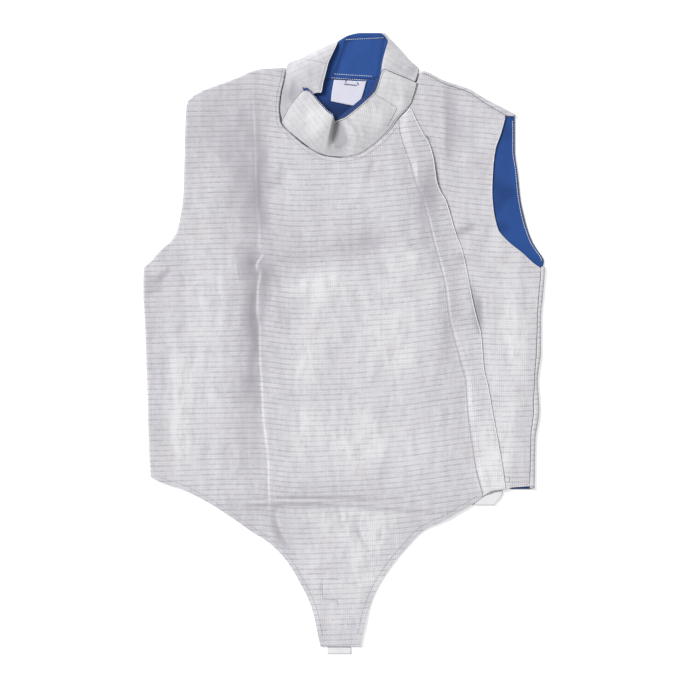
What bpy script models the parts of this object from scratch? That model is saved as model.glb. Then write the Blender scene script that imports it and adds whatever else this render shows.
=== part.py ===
"""A fencer's sleeveless conductive over-jacket, lying flat on its back with the front up.

Sizes in the tables are millimetres on the finished garment. X runs to the viewer's right, Y towards the collar,
Z up from the floor. Every panel is a grid whose points a function places, given a wall by a Solidify modifier.
"""

import math

import bmesh
import bpy
import numpy as np

MM = 0.001
CLOTH = 1.2  # wall of the conductive cloth with its backing
LINING = 1.0  # wall of the blue lining, and of labels and tabs
GAP = 0.3  # between pieces at a seam or where one lies on another
FRONT_TOP = 4.2  # outer face of the front where it lies on the back with the lining between
FOLD_R = FRONT_TOP / 2
UNDER_WRAP = 12.0  # how far the front reaches under the garment past its left folds
UNDERARM_Y = 96.0
NECK_LEVEL_Y = 274.0  # where the neckline meets its left side
FLAP_START = 7.0  # from the flap's stitch line to the side panel's edge under it
FLAP_LIFT = 1.9
COARSE = 0.6  # more room at a seam whose two sides are cut from different straight steps
SHIFT_X, SHIFT_Y = 0.1, 0.0  # brings the middle of the outline to the origin


def table(names, *rows):
    """Rows of numbers as named columns."""
    return {name: np.array(column, float) for name, column in zip(names.split(), zip(*rows))}


def follow(at, given, wanted):
    """A smooth curve through a table's rows that never swings past them."""
    at = np.asarray(at, float)
    secant = np.diff(wanted) / np.diff(given)
    slope = np.empty(len(given))
    slope[0], slope[-1] = secant[0], secant[-1]
    same = secant[:-1] * secant[1:] > 0
    total = np.where(same, secant[:-1] + secant[1:], 1.0)
    slope[1:-1] = np.where(same, 2 * secant[:-1] * secant[1:] / total, 0.0)
    k = np.clip(np.searchsorted(given, at) - 1, 0, len(given) - 2)
    step = given[k + 1] - given[k]
    t = np.clip((at - given[k]) / step, 0, 1)
    a, b = 2 * t**3 - 3 * t**2 + 1, t**3 - 2 * t**2 + t
    c, d = -2 * t**3 + 3 * t**2, t**3 - t**2
    return a * wanted[k] + b * step * slope[k] + c * wanted[k + 1] + d * step * slope[k + 1]


def ease(t):
    t = np.clip(t, 0, 1)
    return t * t * (3 - 2 * t)


# Outline seen from above. Each edge is a curve: x at a height y, or y at a place x.
LEFT_EDGE = table(
    "y x",
    (-167, -242), (-121, -244), (-46, -246), (29, -249), (67, -251), (96, -250), (104, -240), (117, -228),
    (129, -215), (142, -208), (161, -204), (179, -201), (198, -200), (236, -199), (273, -198), (302, -196),
)
RIGHT_EDGE = table(
    "y x",
    (-180, 238), (-121, 239), (-83, 244), (-46, 242), (-8, 246), (29, 246), (67, 249), (97, 251), (104, 250),
    (117, 242), (129, 235), (142, 230), (161, 225), (179, 221), (207, 218), (242, 214), (286, 214),
)
RIGHT_ARMHOLE = table(
    "y x",
    (93, 247), (98, 239), (114, 221), (126, 206), (143, 192), (172, 186), (189, 185), (217, 186), (242, 189),
    (263, 196), (281, 201),
)
SHOULDER = table(
    "x y",
    (-196, 302), (-189, 309), (-174, 317), (-144, 328), (-129, 334), (-114, 341), (-99, 344), (-72, 347),
    (96, 341), (126, 328), (156, 318), (171, 309), (201, 293), (214, 286),
)
COLLAR_TOP = table(
    "x y",
    (-71, 347.5), (-54, 355.5), (-39, 363), (-24, 370.5), (-9, 377), (6, 385), (21, 388), (36, 388), (50, 388),
    (57, 381), (66, 372), (74, 363), (83, 353), (94, 342),
)
HEM = table(
    "x y",
    (-242, -167), (-234, -172), (-204, -182), (-174, -197), (-144, -216), (-114, -237), (-99, -246), (-84, -259),
    (-69, -277), (-54, -303), (-45, -321), (-39, -339), (-35, -358), (-32, -372), (-30, -378.5), (20, -378.5),
    (21, -371), (24, -358), (30, -333), (40, -308), (55, -283), (75, -258), (100, -233), (125, -221), (148, -208),
    (168, -196), (179, -188), (190, -184), (210, -182), (238, -180),
)
BACK_HEM = table(
    "x y",
    (-230, -166), (-180, -184), (-81, -196), (-5, -199), (59, -202), (120, -206), (158, -196), (195, -182.5),
    (238, -181),
)
NECK_SEAM = table("x y", (-76, 331), (-40, 330), (20, 330), (60, 332), (96, 338.5))
NECKLINE = table(
    "x y",
    (-79, 274), (-71, 266), (-62, 258), (-52, 249.5), (-41, 242), (-24, 234), (-5, 232), (16, 235), (35, 246),
    (54, 263), (68, 282), (82, 296),
)
NECK_SIDE = table("y x", (274, -79), (292, -81), (312, -79), (329, -75), (347, -72))
STITCH_LINE = table(
    "y x",
    (-188, 173), (-157, 165), (-131, 161), (-88, 155), (-47, 152), (-17, 144), (31, 132), (74, 126), (128, 112),
    (152, 106), (181, 98), (199, 90), (225, 83), (246, 75), (266, 69.6), (283, 68),
)
FLAP_EDGE = table(
    "y x lift",
    (-185, 201, 0.0), (-168, 199, 0.0), (-131, 193, 0.2), (-88, 185, 0.3), (-53, 179, 0.4), (-32, 174, 0.4),
    (13, 170, 0.6), (31, 165, 0.8), (52, 160, 0.8), (78, 155, 0.4), (119, 146, 0.3), (134, 140, 0.8),
    (157, 133, 1.6), (179, 126, 3.0), (191, 119, 4.2), (202, 115, 5.0), (230, 111, 3.2), (248, 106, 2.0),
    (262, 98, 1.4), (279, 89, 1.0), (295, 82, 0.4),
)
SIDE_SEAM = table("y depth", (-172, 6.0), (-119, 5.0), (-55, 5.0), (-12, 5.5), (89, 4.4))
SHOULDER_SEAM = table("x depth", (94, 3.4), (156, 4.4), (206, 8.0))

# Creases of the front: from one end to the other, how far the middle bows to the left, how wide, how high.
CREASES = table(
    "x0 y0 x1 y1 bow width height",
    (-113, 335, -94, -206, -4, 7, 3.4),
    (-126, 320, -106, -150, -4, 12, -0.9),
    (-98, 330, -80, -190, -4, 11, -0.8),
    (127, 330, 128, 236, 0, 7, -1.6),
    (146, 318, 146, 236, 0, 9, 0.8),
    (-88, -195, 66, -202, 4, 6, 1.8),
    (34, -209, 126, -213, 2, 5, 1.2),
    (-84, -208, -58, -262, 8, 8, 1.2),
    (-10, -202, 18, -250, -4, 7, 1.2),
    (8, -214, 32, -262, 4, 7, 1.0),
    (-46, -286, -4, -288, 2, 4, 0.8),
    (-30, -300, 0, -330, 4, 5, 0.8),
    (138, 134, 168, 148, 0, 6, -1.2),
    (160, 60, 172, 8, 0, 7, -1.4),
    (60, 190, 66, 60, 6, 16, 0.8),
    (-20, 140, -60, -60, 8, 26, 0.9),
)

# The collar's stretches. Each row is a section from its low edge over its middle to its free edge.
LOBE_AND_TAB = table(
    "low_x low_y low_z mid_x mid_y mid_z top_x top_y top_z",
    (-77.5, 276, 5.8, -64, 299, 9.5, -49, 316, 9.4),
    (-69.6, 266, 5.4, -56, 290, 13.0, -43, 313.5, 11.5),
    (-51, 250.5, 5.4, -40, 276, 15.5, -30, 299, 13.6),
    (-38, 241, 5.4, -28, 264, 15.5, -20, 288.5, 14.4),
    (-27, 236, 5.4, -21, 257, 13.5, -15, 283.5, 14.0),
    (-15, 233.5, 5.2, -13, 254, 7.4, -10.5, 275.5, 8.0),
    (-2, 233, 5.2, 0, 253, 8.6, 1, 281, 10.4),
    (16, 236, 5.2, 17, 262, 9.4, 14, 290, 11.0),
    (35, 247, 5.2, 32, 277, 9.4, 27, 301, 10.8),
    (53.4, 264, 5.6, 46, 294, 9.6, 40, 314, 10.6),
    (67.4, 283, 6.2, 60, 311, 10.0, 51, 340, 9.9),
    (75, 291, 6.6, 73, 312, 9.4, 71, 333, 9.2),
    (81.4, 297, 7.0, 86.5, 310, 7.8, 91, 325, 7.8),
)
COLLAR_LEFT = table(
    "low_x low_y low_z mid_x mid_y mid_z top_x top_y top_z",
    (-76.5, 277, 4.6, -58, 298, 6.4, -43, 313, 7.2),
    (-79.6, 292, 4.6, -54, 306, 7.2, -29.5, 313, 8.4),
    (-77.6, 312, 4.6, -51, 322, 8.4, -26.5, 325, 9.2),
    (-73.6, 330, 4.6, -48, 336, 8.8, -23, 338, 9.6),
    (-70.5, 348, 2.9, -44, 348, 8.4, -20, 350, 9.6),
    (-54, 356, 2.9, -35, 357, 7.8, -15.5, 360, 9.2),
    (-39, 363.4, 2.9, -25, 366, 6.8, -11, 369.5, 8.2),
    (-18, 373.4, 2.9, -13, 374.4, 3.6, -8, 376.6, 4.6),
)
COLLAR_RIGHT = table(
    "low_x low_y low_z mid_x mid_y mid_z top_x top_y top_z",
    (82.4, 312, 4.6, 63, 317, 4.9, 42, 322, 4.9),
    (88.6, 327, 4.6, 68, 333, 5.8, 46, 335, 5.7),
    (92.6, 342.6, 2.9, 72, 345, 6.8, 48, 349, 6.8),
    (83, 353, 2.9, 66, 357, 6.6, 50, 358, 7.4),
    (71.5, 366, 2.9, 61, 368, 5.4, 53, 368, 6.8),
    (60.4, 378.2, 2.9, 58.4, 379, 3.4, 56.6, 380, 4.2),
)
EDGE_LINING = table(
    "low_x low_y low_z mid_x mid_y mid_z top_x top_y top_z",
    (-8, 270.5, 5.4, -10, 276, 5.4, -13, 281, 5.2),
    (6, 278, 8.2, 2, 285, 7.4, -3, 291, 5.4),
    (24, 293, 8.8, 19, 299, 7.8, 13, 304, 5.4),
    (41, 310, 8.6, 36, 314, 7.6, 29, 318, 5.4),
    (49.5, 329, 8.0, 45, 331, 7.4, 38, 333, 5.6),
)

# Flat pieces, by height: where each begins and ends across.
ARMHOLE_LINING = table(
    "y left right",
    (100, 226, 249.0), (106, 216, 248.0), (117, 202, 240.6), (129, 190, 233.6), (161, 174, 223.4),
    (189, 170, 218.6), (217, 171, 216.0), (242, 174, 212.6), (263, 180, 212.6), (280, 188, 212.6),
)
NECK_LINING = table(
    "y left right", (246, -48, 40), (262, -66, 56), (280, -74, 70), (300, -77, 80), (318, -75, 87), (327.5, -72, 90)
)
HEM_LINING = table("y left right", (-180.6, 206, 235), (-166, 206, 232))
NECK_LABEL = table("y left right", (298, -15.5, 20), (310, -15, 24), (326, -12.5, 28))
HEM_TAB = table("y left right", (-202, 160, 187), (-187, 161, 198), (-172, 162, 199))
GROIN_TAB = table("y left right", (-388, -21, 9), (-352, -21, 9))


def left_edge(y):
    return follow(y, LEFT_EDGE["y"], LEFT_EDGE["x"])


def right_edge(y):
    return follow(y, RIGHT_EDGE["y"], RIGHT_EDGE["x"])


def shoulder(x):
    return follow(x, SHOULDER["x"], SHOULDER["y"])


def hem(x):
    return follow(x, HEM["x"], HEM["y"])


def back_hem(x):
    return follow(x, BACK_HEM["x"], BACK_HEM["y"])


def stitch_line(y):
    return follow(y, STITCH_LINE["y"], STITCH_LINE["x"])


def crease_rise(x, y):
    """Every crease is a soft ridge or trough about a bowed line, and fades at its ends."""
    rise = np.zeros(np.broadcast(x, y).shape)
    for k in range(len(CREASES["x0"])):
        c = {name: column[k] for name, column in CREASES.items()}
        dx, dy = c["x1"] - c["x0"], c["y1"] - c["y0"]
        length = math.hypot(dx, dy)
        s = np.clip(((x - c["x0"]) * dx + (y - c["y0"]) * dy) / length**2, 0, 1)
        off = ((y - c["y0"]) * dx - (x - c["x0"]) * dy) / length - c["bow"] * 4 * s * (1 - s)
        rise += c["height"] * np.sin(math.pi * s) ** 0.6 * np.exp(-((off / c["width"]) ** 2))
    return rise


def front_height(x, y):
    """Outer face of the front: a low swell over the back, then down to the floor past the back's hem."""
    swell = 1.6 * np.cos(np.clip(x / 250, -1, 1) * math.pi / 2) ** 2
    swell = swell * np.cos(np.clip((y - 60) / 250, -1, 1) * math.pi / 2) ** 2
    past = ease((back_hem(x) - y) / 26)
    tip = ease((-334 - y) / 14) * (CLOTH + GAP - 0.1)
    rise = crease_rise(x, y)
    rise = np.where(rise < 0, rise * (1 - past), rise)
    return (FRONT_TOP + swell) * (1 - past) + CLOTH * past + tip + rise * ease((y + 372) / 20)


def folded(turn, extra, top, upward):
    """A U-turn: turn 0 to 1 runs round the half circle, extra goes on flat. Returns the way out and the height."""
    radius = top / 2
    out = radius * np.sin(turn * math.pi) - extra
    down = radius * (1 - np.cos(turn * math.pi))
    return out, down if upward else top - down


ARC = [(k / 6, 0.0) for k in range(1, 7)]


class Panel:
    """A grid of cloth. Columns and rows are (kind, number, extra) marks, and place() gives the point of each crossing."""

    def __init__(self, name, columns, rows, place, outside_up, wall=CLOTH):
        self.name, self.columns, self.rows = name, columns, rows
        self.place, self.outside_up, self.wall = place, outside_up, wall

    def build(self, material, collection):
        wide, deep = len(self.columns), len(self.rows)
        bm = bmesh.new()
        bmesh.ops.create_grid(bm, x_segments=wide - 1, y_segments=deep - 1, size=1.0)
        unused = []
        for v in bm.verts:
            i = round((v.co.x + 1) / 2 * (wide - 1))
            j = round((v.co.y + 1) / 2 * (deep - 1))
            point = self.place(self.columns[i], self.rows[j])
            if point is None:
                unused.append(v)
            else:
                x, y, z = (float(n) for n in point)
                v.co = ((x + SHIFT_X) * MM, (y + SHIFT_Y) * MM, z * MM)
        bmesh.ops.delete(bm, geom=unused, context="VERTS")
        mesh = bpy.data.meshes.new(self.name)
        bm.to_mesh(mesh)
        bm.free()
        mesh.polygons.foreach_set("use_smooth", [True] * len(mesh.polygons))
        mesh.materials.append(material)
        obj = bpy.data.objects.new(self.name, mesh)
        collection.objects.link(obj)
        wall = obj.modifiers.new("wall", "SOLIDIFY")
        wall.thickness = self.wall * MM
        wall.offset = -1.0 if self.outside_up else 1.0
        wall.use_quality_normals = True
        return obj


def marks(kind, numbers):
    return [(kind, n, 0.0) for n in numbers]


# Columns of the front panel, named by where they meet the hem.
FRONT_LEFT, FRONT_RIGHT = -242.0, 173.0
FRONT_HEM_STATIONS = (
    -242, -228, -210, -191, -172, -153, -135, -122, -113, -105, -98, -91, -84, -76, -66, -56, -47, -40, -35, -31.5,
    -29.5, -17, -5, 8, 19.5, 21, 24, 29, 36, 46, 58, 72, 88, 104, 122, 140, 157, 173,
)
NECK_STATION = -56
NECK_F = (NECK_STATION - FRONT_LEFT) / (FRONT_RIGHT - FRONT_LEFT)


def front_left(y):
    """The front's left edge: inside the fold below the arm, and just inside the back's edge round the armhole."""
    at_fold = 1 - ease((y - UNDERARM_Y) / 8)
    return left_edge(y) + FOLD_R * at_fold + 0.8 * (1 - at_fold)


def front_x(f, y):
    return front_left(y) * (1 - f) + stitch_line(y) * f


def front_top(f):
    """Where a column of the lower part ends: on the level of the neck's corner, or on the neckline."""
    if f <= NECK_F + 1e-6:
        return NECK_LEVEL_Y
    y = 250.0
    for _ in range(6):
        y = float(follow(front_x(f, y), NECKLINE["x"], NECKLINE["y"]))
    return y


def front_main_point(column, row):
    kind, f, extra = column
    part, v, further = row
    if kind == "fold":
        if part != "low":
            return None
        x, y, top = front_main_point(("flat", 0.0, 0.0), row)
        out, z = folded(f, extra, top, False)
        return x - out, y, z
    if part == "low" or part == "middle":
        start = float(hem(FRONT_LEFT + (FRONT_RIGHT - FRONT_LEFT) * f))
        y = start + (UNDERARM_Y - start) * v if part == "low" else UNDERARM_Y + (front_top(f) - UNDERARM_Y) * v
        x = front_x(f, y)
        return x, y, front_height(x, y)
    if f > NECK_F + 1e-6:
        return None
    along = f / NECK_F
    start_x = front_x(f, NECK_LEVEL_Y)
    y = NECK_LEVEL_Y
    height = v if part == "high" else 1.0
    for _ in range(4):
        x = front_left(y) * (1 - along) + float(follow(y, NECK_SIDE["y"], NECK_SIDE["x"])) * along
        x = x if height > 0 else start_x
        y = NECK_LEVEL_Y + (float(shoulder(x)) - FOLD_R - NECK_LEVEL_Y) * height
    z = front_height(x, y)
    if part == "fold":
        out, z = folded(v, further, z, False)
        y = y + out
    return x, y, z


def back_left(y):
    clear = FOLD_R + UNDER_WRAP + GAP
    return left_edge(y) + clear * (1 - ease((y - UNDERARM_Y - 3) / 14))


def back_right(y):
    return right_edge(y) - FOLD_R * (1 - ease((y - UNDERARM_Y) / 8))


BACK_SHOULDER_F = 0.712


def back_top(x):
    left = shoulder(x) - FOLD_R - UNDER_WRAP - GAP - COARSE
    neck = follow(x, NECK_SEAM["x"], NECK_SEAM["y"])
    right = shoulder(x) - FOLD_R
    return float(np.where(x < -73, left, np.where(x < 95, neck, right)))


def back_point(column, row):
    kind, f, extra = column
    part, v, further = row
    if kind == "fold":
        if part != "low":
            return None
        x, y, _ = back_point(("flat", 1.0, 0.0), row)
        depth = float(follow(y, SIDE_SEAM["y"], SIDE_SEAM["depth"]))
        out, z = folded(f, extra * (depth - FOLD_R), FRONT_TOP, True)
        return x + out, y, z
    if part == "low":
        start = float(back_hem(-228 + 466 * f))
        y = start + (UNDERARM_Y - start) * v
        return back_left(y) * (1 - f) + back_right(y) * f, y, 0.0
    y = 200.0
    for _ in range(8):
        x = back_left(y) * (1 - f) + back_right(y) * f
        y = UNDERARM_Y + (back_top(x) - UNDERARM_Y) * (v if part == "middle" else 1.0)
    x = back_left(y) * (1 - f) + back_right(y) * f
    if part == "middle":
        return x, y, 0.0
    if f < BACK_SHOULDER_F - 1e-6:
        return None
    depth = float(follow(x, SHOULDER_SEAM["x"], SHOULDER_SEAM["depth"]))
    out, z = folded(v, further * (depth - FOLD_R), FRONT_TOP, True)
    return x, y + out, z


def side_left(y):
    return stitch_line(y) + FLAP_START


def side_right(y):
    seam = right_edge(y) - follow(y, SIDE_SEAM["y"], SIDE_SEAM["depth"]) - GAP - COARSE / 2
    armhole = follow(y, RIGHT_ARMHOLE["y"], RIGHT_ARMHOLE["x"])
    return np.where(y < 92, seam, np.minimum(armhole, seam))


SIDE_NECK = table("x y", (75, 289), (80, 296), (85, 312), (91, 327), (95, 335.5))


def side_top(x):
    neck = follow(x, SIDE_NECK["x"], SIDE_NECK["y"])
    seam = shoulder(x) - follow(x, SHOULDER_SEAM["x"], SHOULDER_SEAM["depth"]) - GAP - COARSE
    return float(np.where(x < 95, np.minimum(neck, seam), seam))


def front_side_point(column, row):
    _, f, _ = column
    part, v, _ = row
    if part == "low":
        start = float(hem(180 + 52 * f)) + 0.6
        y = start + (92 - start) * v
        x = side_left(y) * (1 - f) + side_right(y) * f
        return x, y, front_height(x, y)
    y = 200.0
    for _ in range(8):
        x = side_left(y) * (1 - f) + float(side_right(y)) * f
        y = 92 + (side_top(x) - 92) * v
    x = side_left(y) * (1 - f) + float(side_right(y)) * f
    return x, y, front_height(x, y)


def closure_flap_point(column, row):
    _, f, _ = column
    _, v, _ = row
    low = float(hem(173 + 27 * f))
    high = 282.5 + 12.5 * f
    y = low + (high - low) * v
    left, right = float(stitch_line(y)) + GAP + COARSE, float(follow(y, FLAP_EDGE["y"], FLAP_EDGE["x"]))
    x = left + (right - left) * f
    lift = float(follow(y, FLAP_EDGE["y"], FLAP_EDGE["lift"]))
    z = front_height(x, y) + FLAP_LIFT * ease((x - left) / 6) + lift * f**3
    return x, y, z


def section_point(rows, roll):
    """A stretch of collar through its sections. roll rounds the low edge down as cloth does at a fold."""
    count = len(rows["low_x"])

    def place(column, row):
        s = np.array([column[1] * (count - 1)])
        t = row[1]
        stations = np.arange(count, dtype=float)
        low, mid, top = (
            [float(follow(s, stations, rows[f"{edge}_{axis}"])[0]) for axis in "xyz"] for edge in ("low", "mid", "top")
        )
        point = [a * (1 - t) * (1 - 2 * t) + 4 * b * t * (1 - t) + c * t * (2 * t - 1) for a, b, c in zip(low, mid, top)]
        if roll:
            flat = min(t / 0.3, 1.0)
            rounded = math.sqrt(max(0.0, 1 - (1 - flat) ** 2))
            line = low[2] + (top[2] - low[2]) * t
            point[2] = low[2] + (max(point[2], line) - low[2]) * (rounded * (1 - t) + t)
        return point

    return place


def strip_point(rows, under, curve=0.0):
    """A flat piece between its left and right edges."""

    def place(column, row):
        low, high = rows["y"][0], rows["y"][-1]
        y = low + (high - low) * row[1]
        left, right = (float(follow(y, rows["y"], rows[side])) for side in ("left", "right"))
        return left + (right - left) * column[1], y, under

    return place


def collar_back_point(column, row):
    _, f, _ = column
    x = -70.5 + (93.5 + 70.5) * f
    low = float(follow(x, NECK_SEAM["x"], NECK_SEAM["y"])) + GAP + COARSE
    high = float(follow(x, COLLAR_TOP["x"], COLLAR_TOP["y"]))
    return x, low + (high - low) * row[1], 0.0


def collar_lining_point(column, row):
    """The blue inside of the collar's back: out to the edge at the top, short of the folds at the sides."""
    _, f, _ = column
    x = -62 + (86 + 62) * f
    low = float(follow(x, NECK_SEAM["x"], NECK_SEAM["y"])) + GAP + 0.2
    inset = 0.2 + 6.0 * max(float(ease((-4 - x) / 14)), float(ease((x - 45) / 10)))
    high = float(follow(x, COLLAR_TOP["x"], COLLAR_TOP["y"])) - inset
    return x, low + (high - low) * row[1], CLOTH + GAP


def even(count):
    return np.linspace(0, 1, count)


LINING_UNDER = CLOTH + GAP
LABEL_UNDER = LINING_UNDER + LINING + GAP
front_columns = (
    [("fold", 1.0, UNDER_WRAP), ("fold", 1.0, UNDER_WRAP / 2)]
    + [("fold", a, e) for a, e in reversed(ARC)]
    + marks("flat", [(x - FRONT_LEFT) / (FRONT_RIGHT - FRONT_LEFT) for x in FRONT_HEM_STATIONS])
)
front_rows = (
    marks("low", even(20))
    + marks("middle", even(10)[1:])
    + marks("high", even(6)[1:])
    + [("fold", a, e) for a, e in ARC]
    + [("fold", 1.0, UNDER_WRAP / 2), ("fold", 1.0, UNDER_WRAP)]
)
back_columns = (
    marks("flat", np.concatenate([np.linspace(0, BACK_SHOULDER_F, 14), np.linspace(BACK_SHOULDER_F, 1, 8)[1:]]))
    + [("fold", a, e) for a, e in ARC]
    + [("fold", 1.0, 1.0)]
)
back_rows = marks("low", even(16)) + marks("middle", even(12)[1:]) + [("fold", a, e) for a, e in ARC] + [("fold", 1.0, 1.0)]

PANELS = (
    (Panel("back", back_columns, back_rows, back_point, False), "lame"),
    (Panel("front_main", front_columns, front_rows, front_main_point, True), "lame"),
    (
        Panel("front_side", marks("flat", even(12)), marks("low", even(18)) + marks("high", even(14)[1:]), front_side_point, True),
        "lame",
    ),
    (Panel("closure_flap", marks("flat", (0, 0.12, 0.25, 0.45, 0.7, 0.88, 1)), marks("all", even(34)), closure_flap_point, True), "lame"),
    (Panel("collar_back", marks("flat", even(22)), marks("all", even(5)), collar_back_point, False), "lame"),
    (Panel("collar_lining", marks("flat", even(22)), marks("all", even(5)), collar_lining_point, False, LINING), "lining"),
    (Panel("collar_left", marks("s", even(20)), marks("t", (0, 0.02, 0.06, 0.13, 0.25, 0.45, 0.7, 0.9, 1)), section_point(COLLAR_LEFT, True), False), "lame"),
    (Panel("collar_front", marks("s", even(40)), marks("t", even(9)), section_point(LOBE_AND_TAB, False), True), "lame"),
    (Panel("collar_right", marks("s", even(16)), marks("t", (0, 0.02, 0.06, 0.13, 0.25, 0.45, 0.7, 0.9, 1)), section_point(COLLAR_RIGHT, True), True), "lame"),
    (Panel("collar_edge_lining", marks("s", even(14)), marks("t", even(4)), section_point(EDGE_LINING, False), True, LINING), "lining"),
    (Panel("neck_lining", marks("flat", even(8)), marks("all", even(8)), strip_point(NECK_LINING, LINING_UNDER), False, LINING), "lining"),
    (Panel("armhole_lining", marks("flat", even(5)), marks("all", even(20)), strip_point(ARMHOLE_LINING, LINING_UNDER), False, LINING), "lining"),
    (Panel("hem_lining", marks("flat", even(3)), marks("all", even(2)), strip_point(HEM_LINING, LINING_UNDER), False, LINING), "lining"),
    (Panel("neck_label", marks("flat", even(4)), marks("all", even(4)), strip_point(NECK_LABEL, LABEL_UNDER), False, LINING), "label"),
    (Panel("hem_tab", marks("flat", even(4)), marks("all", even(4)), strip_point(HEM_TAB, LINING_UNDER), False, LINING), "label"),
    (Panel("groin_tab", marks("flat", even(3)), marks("all", even(3)), strip_point(GROIN_TAB, 0.0), False, LINING), "label"),
)
COLOURS = {
    "lame": ((0.66, 0.65, 0.70, 1), 0.25, 0.55),
    "lining": ((0.03, 0.10, 0.36, 1), 0.0, 0.7),
    "label": ((0.82, 0.81, 0.86, 1), 0.0, 0.7),
}


def material_for(name, kind):
    colour, metal, rough = COLOURS[kind]
    made = bpy.data.materials.new(name)
    made.use_nodes = True
    shader = made.node_tree.nodes["Principled BSDF"]
    shader.inputs["Base Color"].default_value = colour
    shader.inputs["Metallic"].default_value = metal
    shader.inputs["Roughness"].default_value = rough
    made.diffuse_color = colour
    return made


def main():
    for obj in list(bpy.data.objects):
        bpy.data.objects.remove(obj)
    parts = bpy.data.collections.new("foil_lame")
    bpy.context.scene.collection.children.link(parts)
    for panel, kind in PANELS:
        panel.build(material_for(panel.name, kind), parts)


main()
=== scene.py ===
"""The dressed scene of a fencer's sleeveless conductive over-jacket, which lies flat on its back, front up.

Places in the tables are millimetres on the finished garment, the same as those of the solids: X to the
viewer's right, Y towards the collar, Z up from the floor. A cloth piece is a grid of points on its outer face,
and a Solidify modifier gives it its wall inwards. Sewing is short rods and rolled edges are tubes, both carried
along lines on the cloth.
"""

import math
from functools import partial

import bpy
import numpy as np
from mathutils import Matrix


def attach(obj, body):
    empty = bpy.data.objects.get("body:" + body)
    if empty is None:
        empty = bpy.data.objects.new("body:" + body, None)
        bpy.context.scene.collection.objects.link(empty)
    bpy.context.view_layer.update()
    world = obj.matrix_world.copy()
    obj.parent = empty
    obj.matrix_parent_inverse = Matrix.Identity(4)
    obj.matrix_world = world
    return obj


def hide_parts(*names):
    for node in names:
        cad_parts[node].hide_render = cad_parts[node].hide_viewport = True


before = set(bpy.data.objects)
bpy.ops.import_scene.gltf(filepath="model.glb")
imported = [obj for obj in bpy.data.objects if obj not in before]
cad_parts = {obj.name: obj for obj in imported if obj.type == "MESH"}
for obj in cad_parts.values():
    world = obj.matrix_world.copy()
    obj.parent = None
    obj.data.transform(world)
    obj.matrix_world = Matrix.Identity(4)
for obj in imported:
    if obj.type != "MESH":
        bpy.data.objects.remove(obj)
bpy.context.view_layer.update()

MM = 0.001
CLOTH = 1.2  # wall of the conductive cloth with its backing
LINING = 1.0  # wall of the blue lining, and of labels and tabs
GAP = 0.3  # between pieces at a seam or where one lies on another
FRONT_TOP = 4.2  # outer face of the front where it lies on the back with the lining between
FOLD_R = FRONT_TOP / 2  # of the front's and the back's folded edges
UNDER_WRAP = 12.0  # how far the front reaches under the garment past its left folds
UNDERARM_Y = 96.0  # the level of the armholes' low ends
NECK_LEVEL_Y = 274.0  # above it the front goes on only to the left of the neck
SIDE_BLOCK_Y = 92.0  # where the side panel's two blocks meet, a little below the underarm
NECK_CORNER_X = 95.0  # where the right shoulder begins
FLAP_START = 7.0  # how far the side panel begins from the flap's stitch line
FLAP_LIFT = 1.3  # from the side panel's face up to the flap's
SHIFT_X = 0.1  # brings the middle of the outline to the origin
WEFT_PITCH = 6.4  # between the dark lines of the weave
WARP_STEP = 2.4 * MM  # between the rows of the weave's faint grid, in metres
WEFT_STEP = WEFT_PITCH / 3 * MM
TWILL_STEP = 1.2 * MM  # between the lining's diagonal ribs, in metres
VECTOR, NUMBER, COLOUR = "NodeSocketVector", "NodeSocketFloat", "NodeSocketColor"


def table(names, *rows):
    """Rows of numbers as named columns."""
    return {name: np.array(column, float) for name, column in zip(names.split(), zip(*rows))}


def follow(at, given, wanted):
    """A smooth curve through a table's rows, never past them: cubic between rows, with mean slopes."""
    at = np.asarray(at, float)
    secant = np.diff(wanted) / np.diff(given)
    slope = np.empty(len(given))
    slope[0], slope[-1] = secant[0], secant[-1]
    same = secant[:-1] * secant[1:] > 0
    total = np.where(same, secant[:-1] + secant[1:], 1.0)
    slope[1:-1] = np.where(same, 2 * secant[:-1] * secant[1:] / total, 0.0)
    k = np.clip(np.searchsorted(given, at) - 1, 0, len(given) - 2)
    step = given[k + 1] - given[k]
    t = np.clip((at - given[k]) / step, 0, 1)
    a, b = 2 * t**3 - 3 * t**2 + 1, t**3 - 2 * t**2 + t
    c, d = -2 * t**3 + 3 * t**2, t**3 - t**2
    return a * wanted[k] + b * step * slope[k] + c * wanted[k + 1] + d * step * slope[k + 1]


def curve(rows, column=1):
    """A function of a table's first column that runs smoothly through another one."""
    columns = list(rows.values())
    return lambda at: follow(at, columns[0], columns[column])


def ease(t):
    """From 0 to 1 with level ends: three t squared less two t cubed."""
    t = np.clip(t, 0, 1)
    return t * t * (3 - 2 * t)


def bell(t):
    """A bell curve, 1 in the middle."""
    return np.exp(-(t**2))


left_edge = curve(table(
    "y x",
    (-167, -242), (-121, -244), (-46, -246), (29, -249), (67, -251), (96, -250), (104, -240), (117, -228),
    (129, -215), (142, -208), (161, -204), (179, -201), (198, -200), (236, -199), (273, -198), (302, -196),
))
right_edge = curve(table(
    "y x",
    (-180, 238), (-121, 239), (-83, 244), (-46, 242), (-8, 246), (29, 246), (67, 249), (97, 251), (104, 250),
    (117, 242), (129, 235), (142, 230), (161, 225), (179, 221), (207, 218), (242, 214), (286, 214),
))
armhole_edge = curve(table(
    "y x",
    (93, 247), (98, 239), (114, 221), (126, 206), (143, 192), (172, 186), (189, 185), (217, 186), (242, 189),
    (263, 196), (281, 201),
))
shoulder = curve(table(
    "x y",
    (-196, 302), (-189, 309), (-174, 317), (-144, 328), (-129, 334), (-114, 340.5), (-99, 342.8),
    (-72, 344.2), (96, 341), (126, 328), (156, 318), (171, 309), (201, 293), (214, 286),
))
collar_top = curve(table(
    "x y",
    (-71, 347.5), (-54, 355.5), (-39, 363), (-24, 370.5), (-9, 377), (6, 385), (21, 388), (36, 388),
    (50, 388), (57, 381), (66, 372), (74, 363), (83, 353), (94, 342),
))
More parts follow.
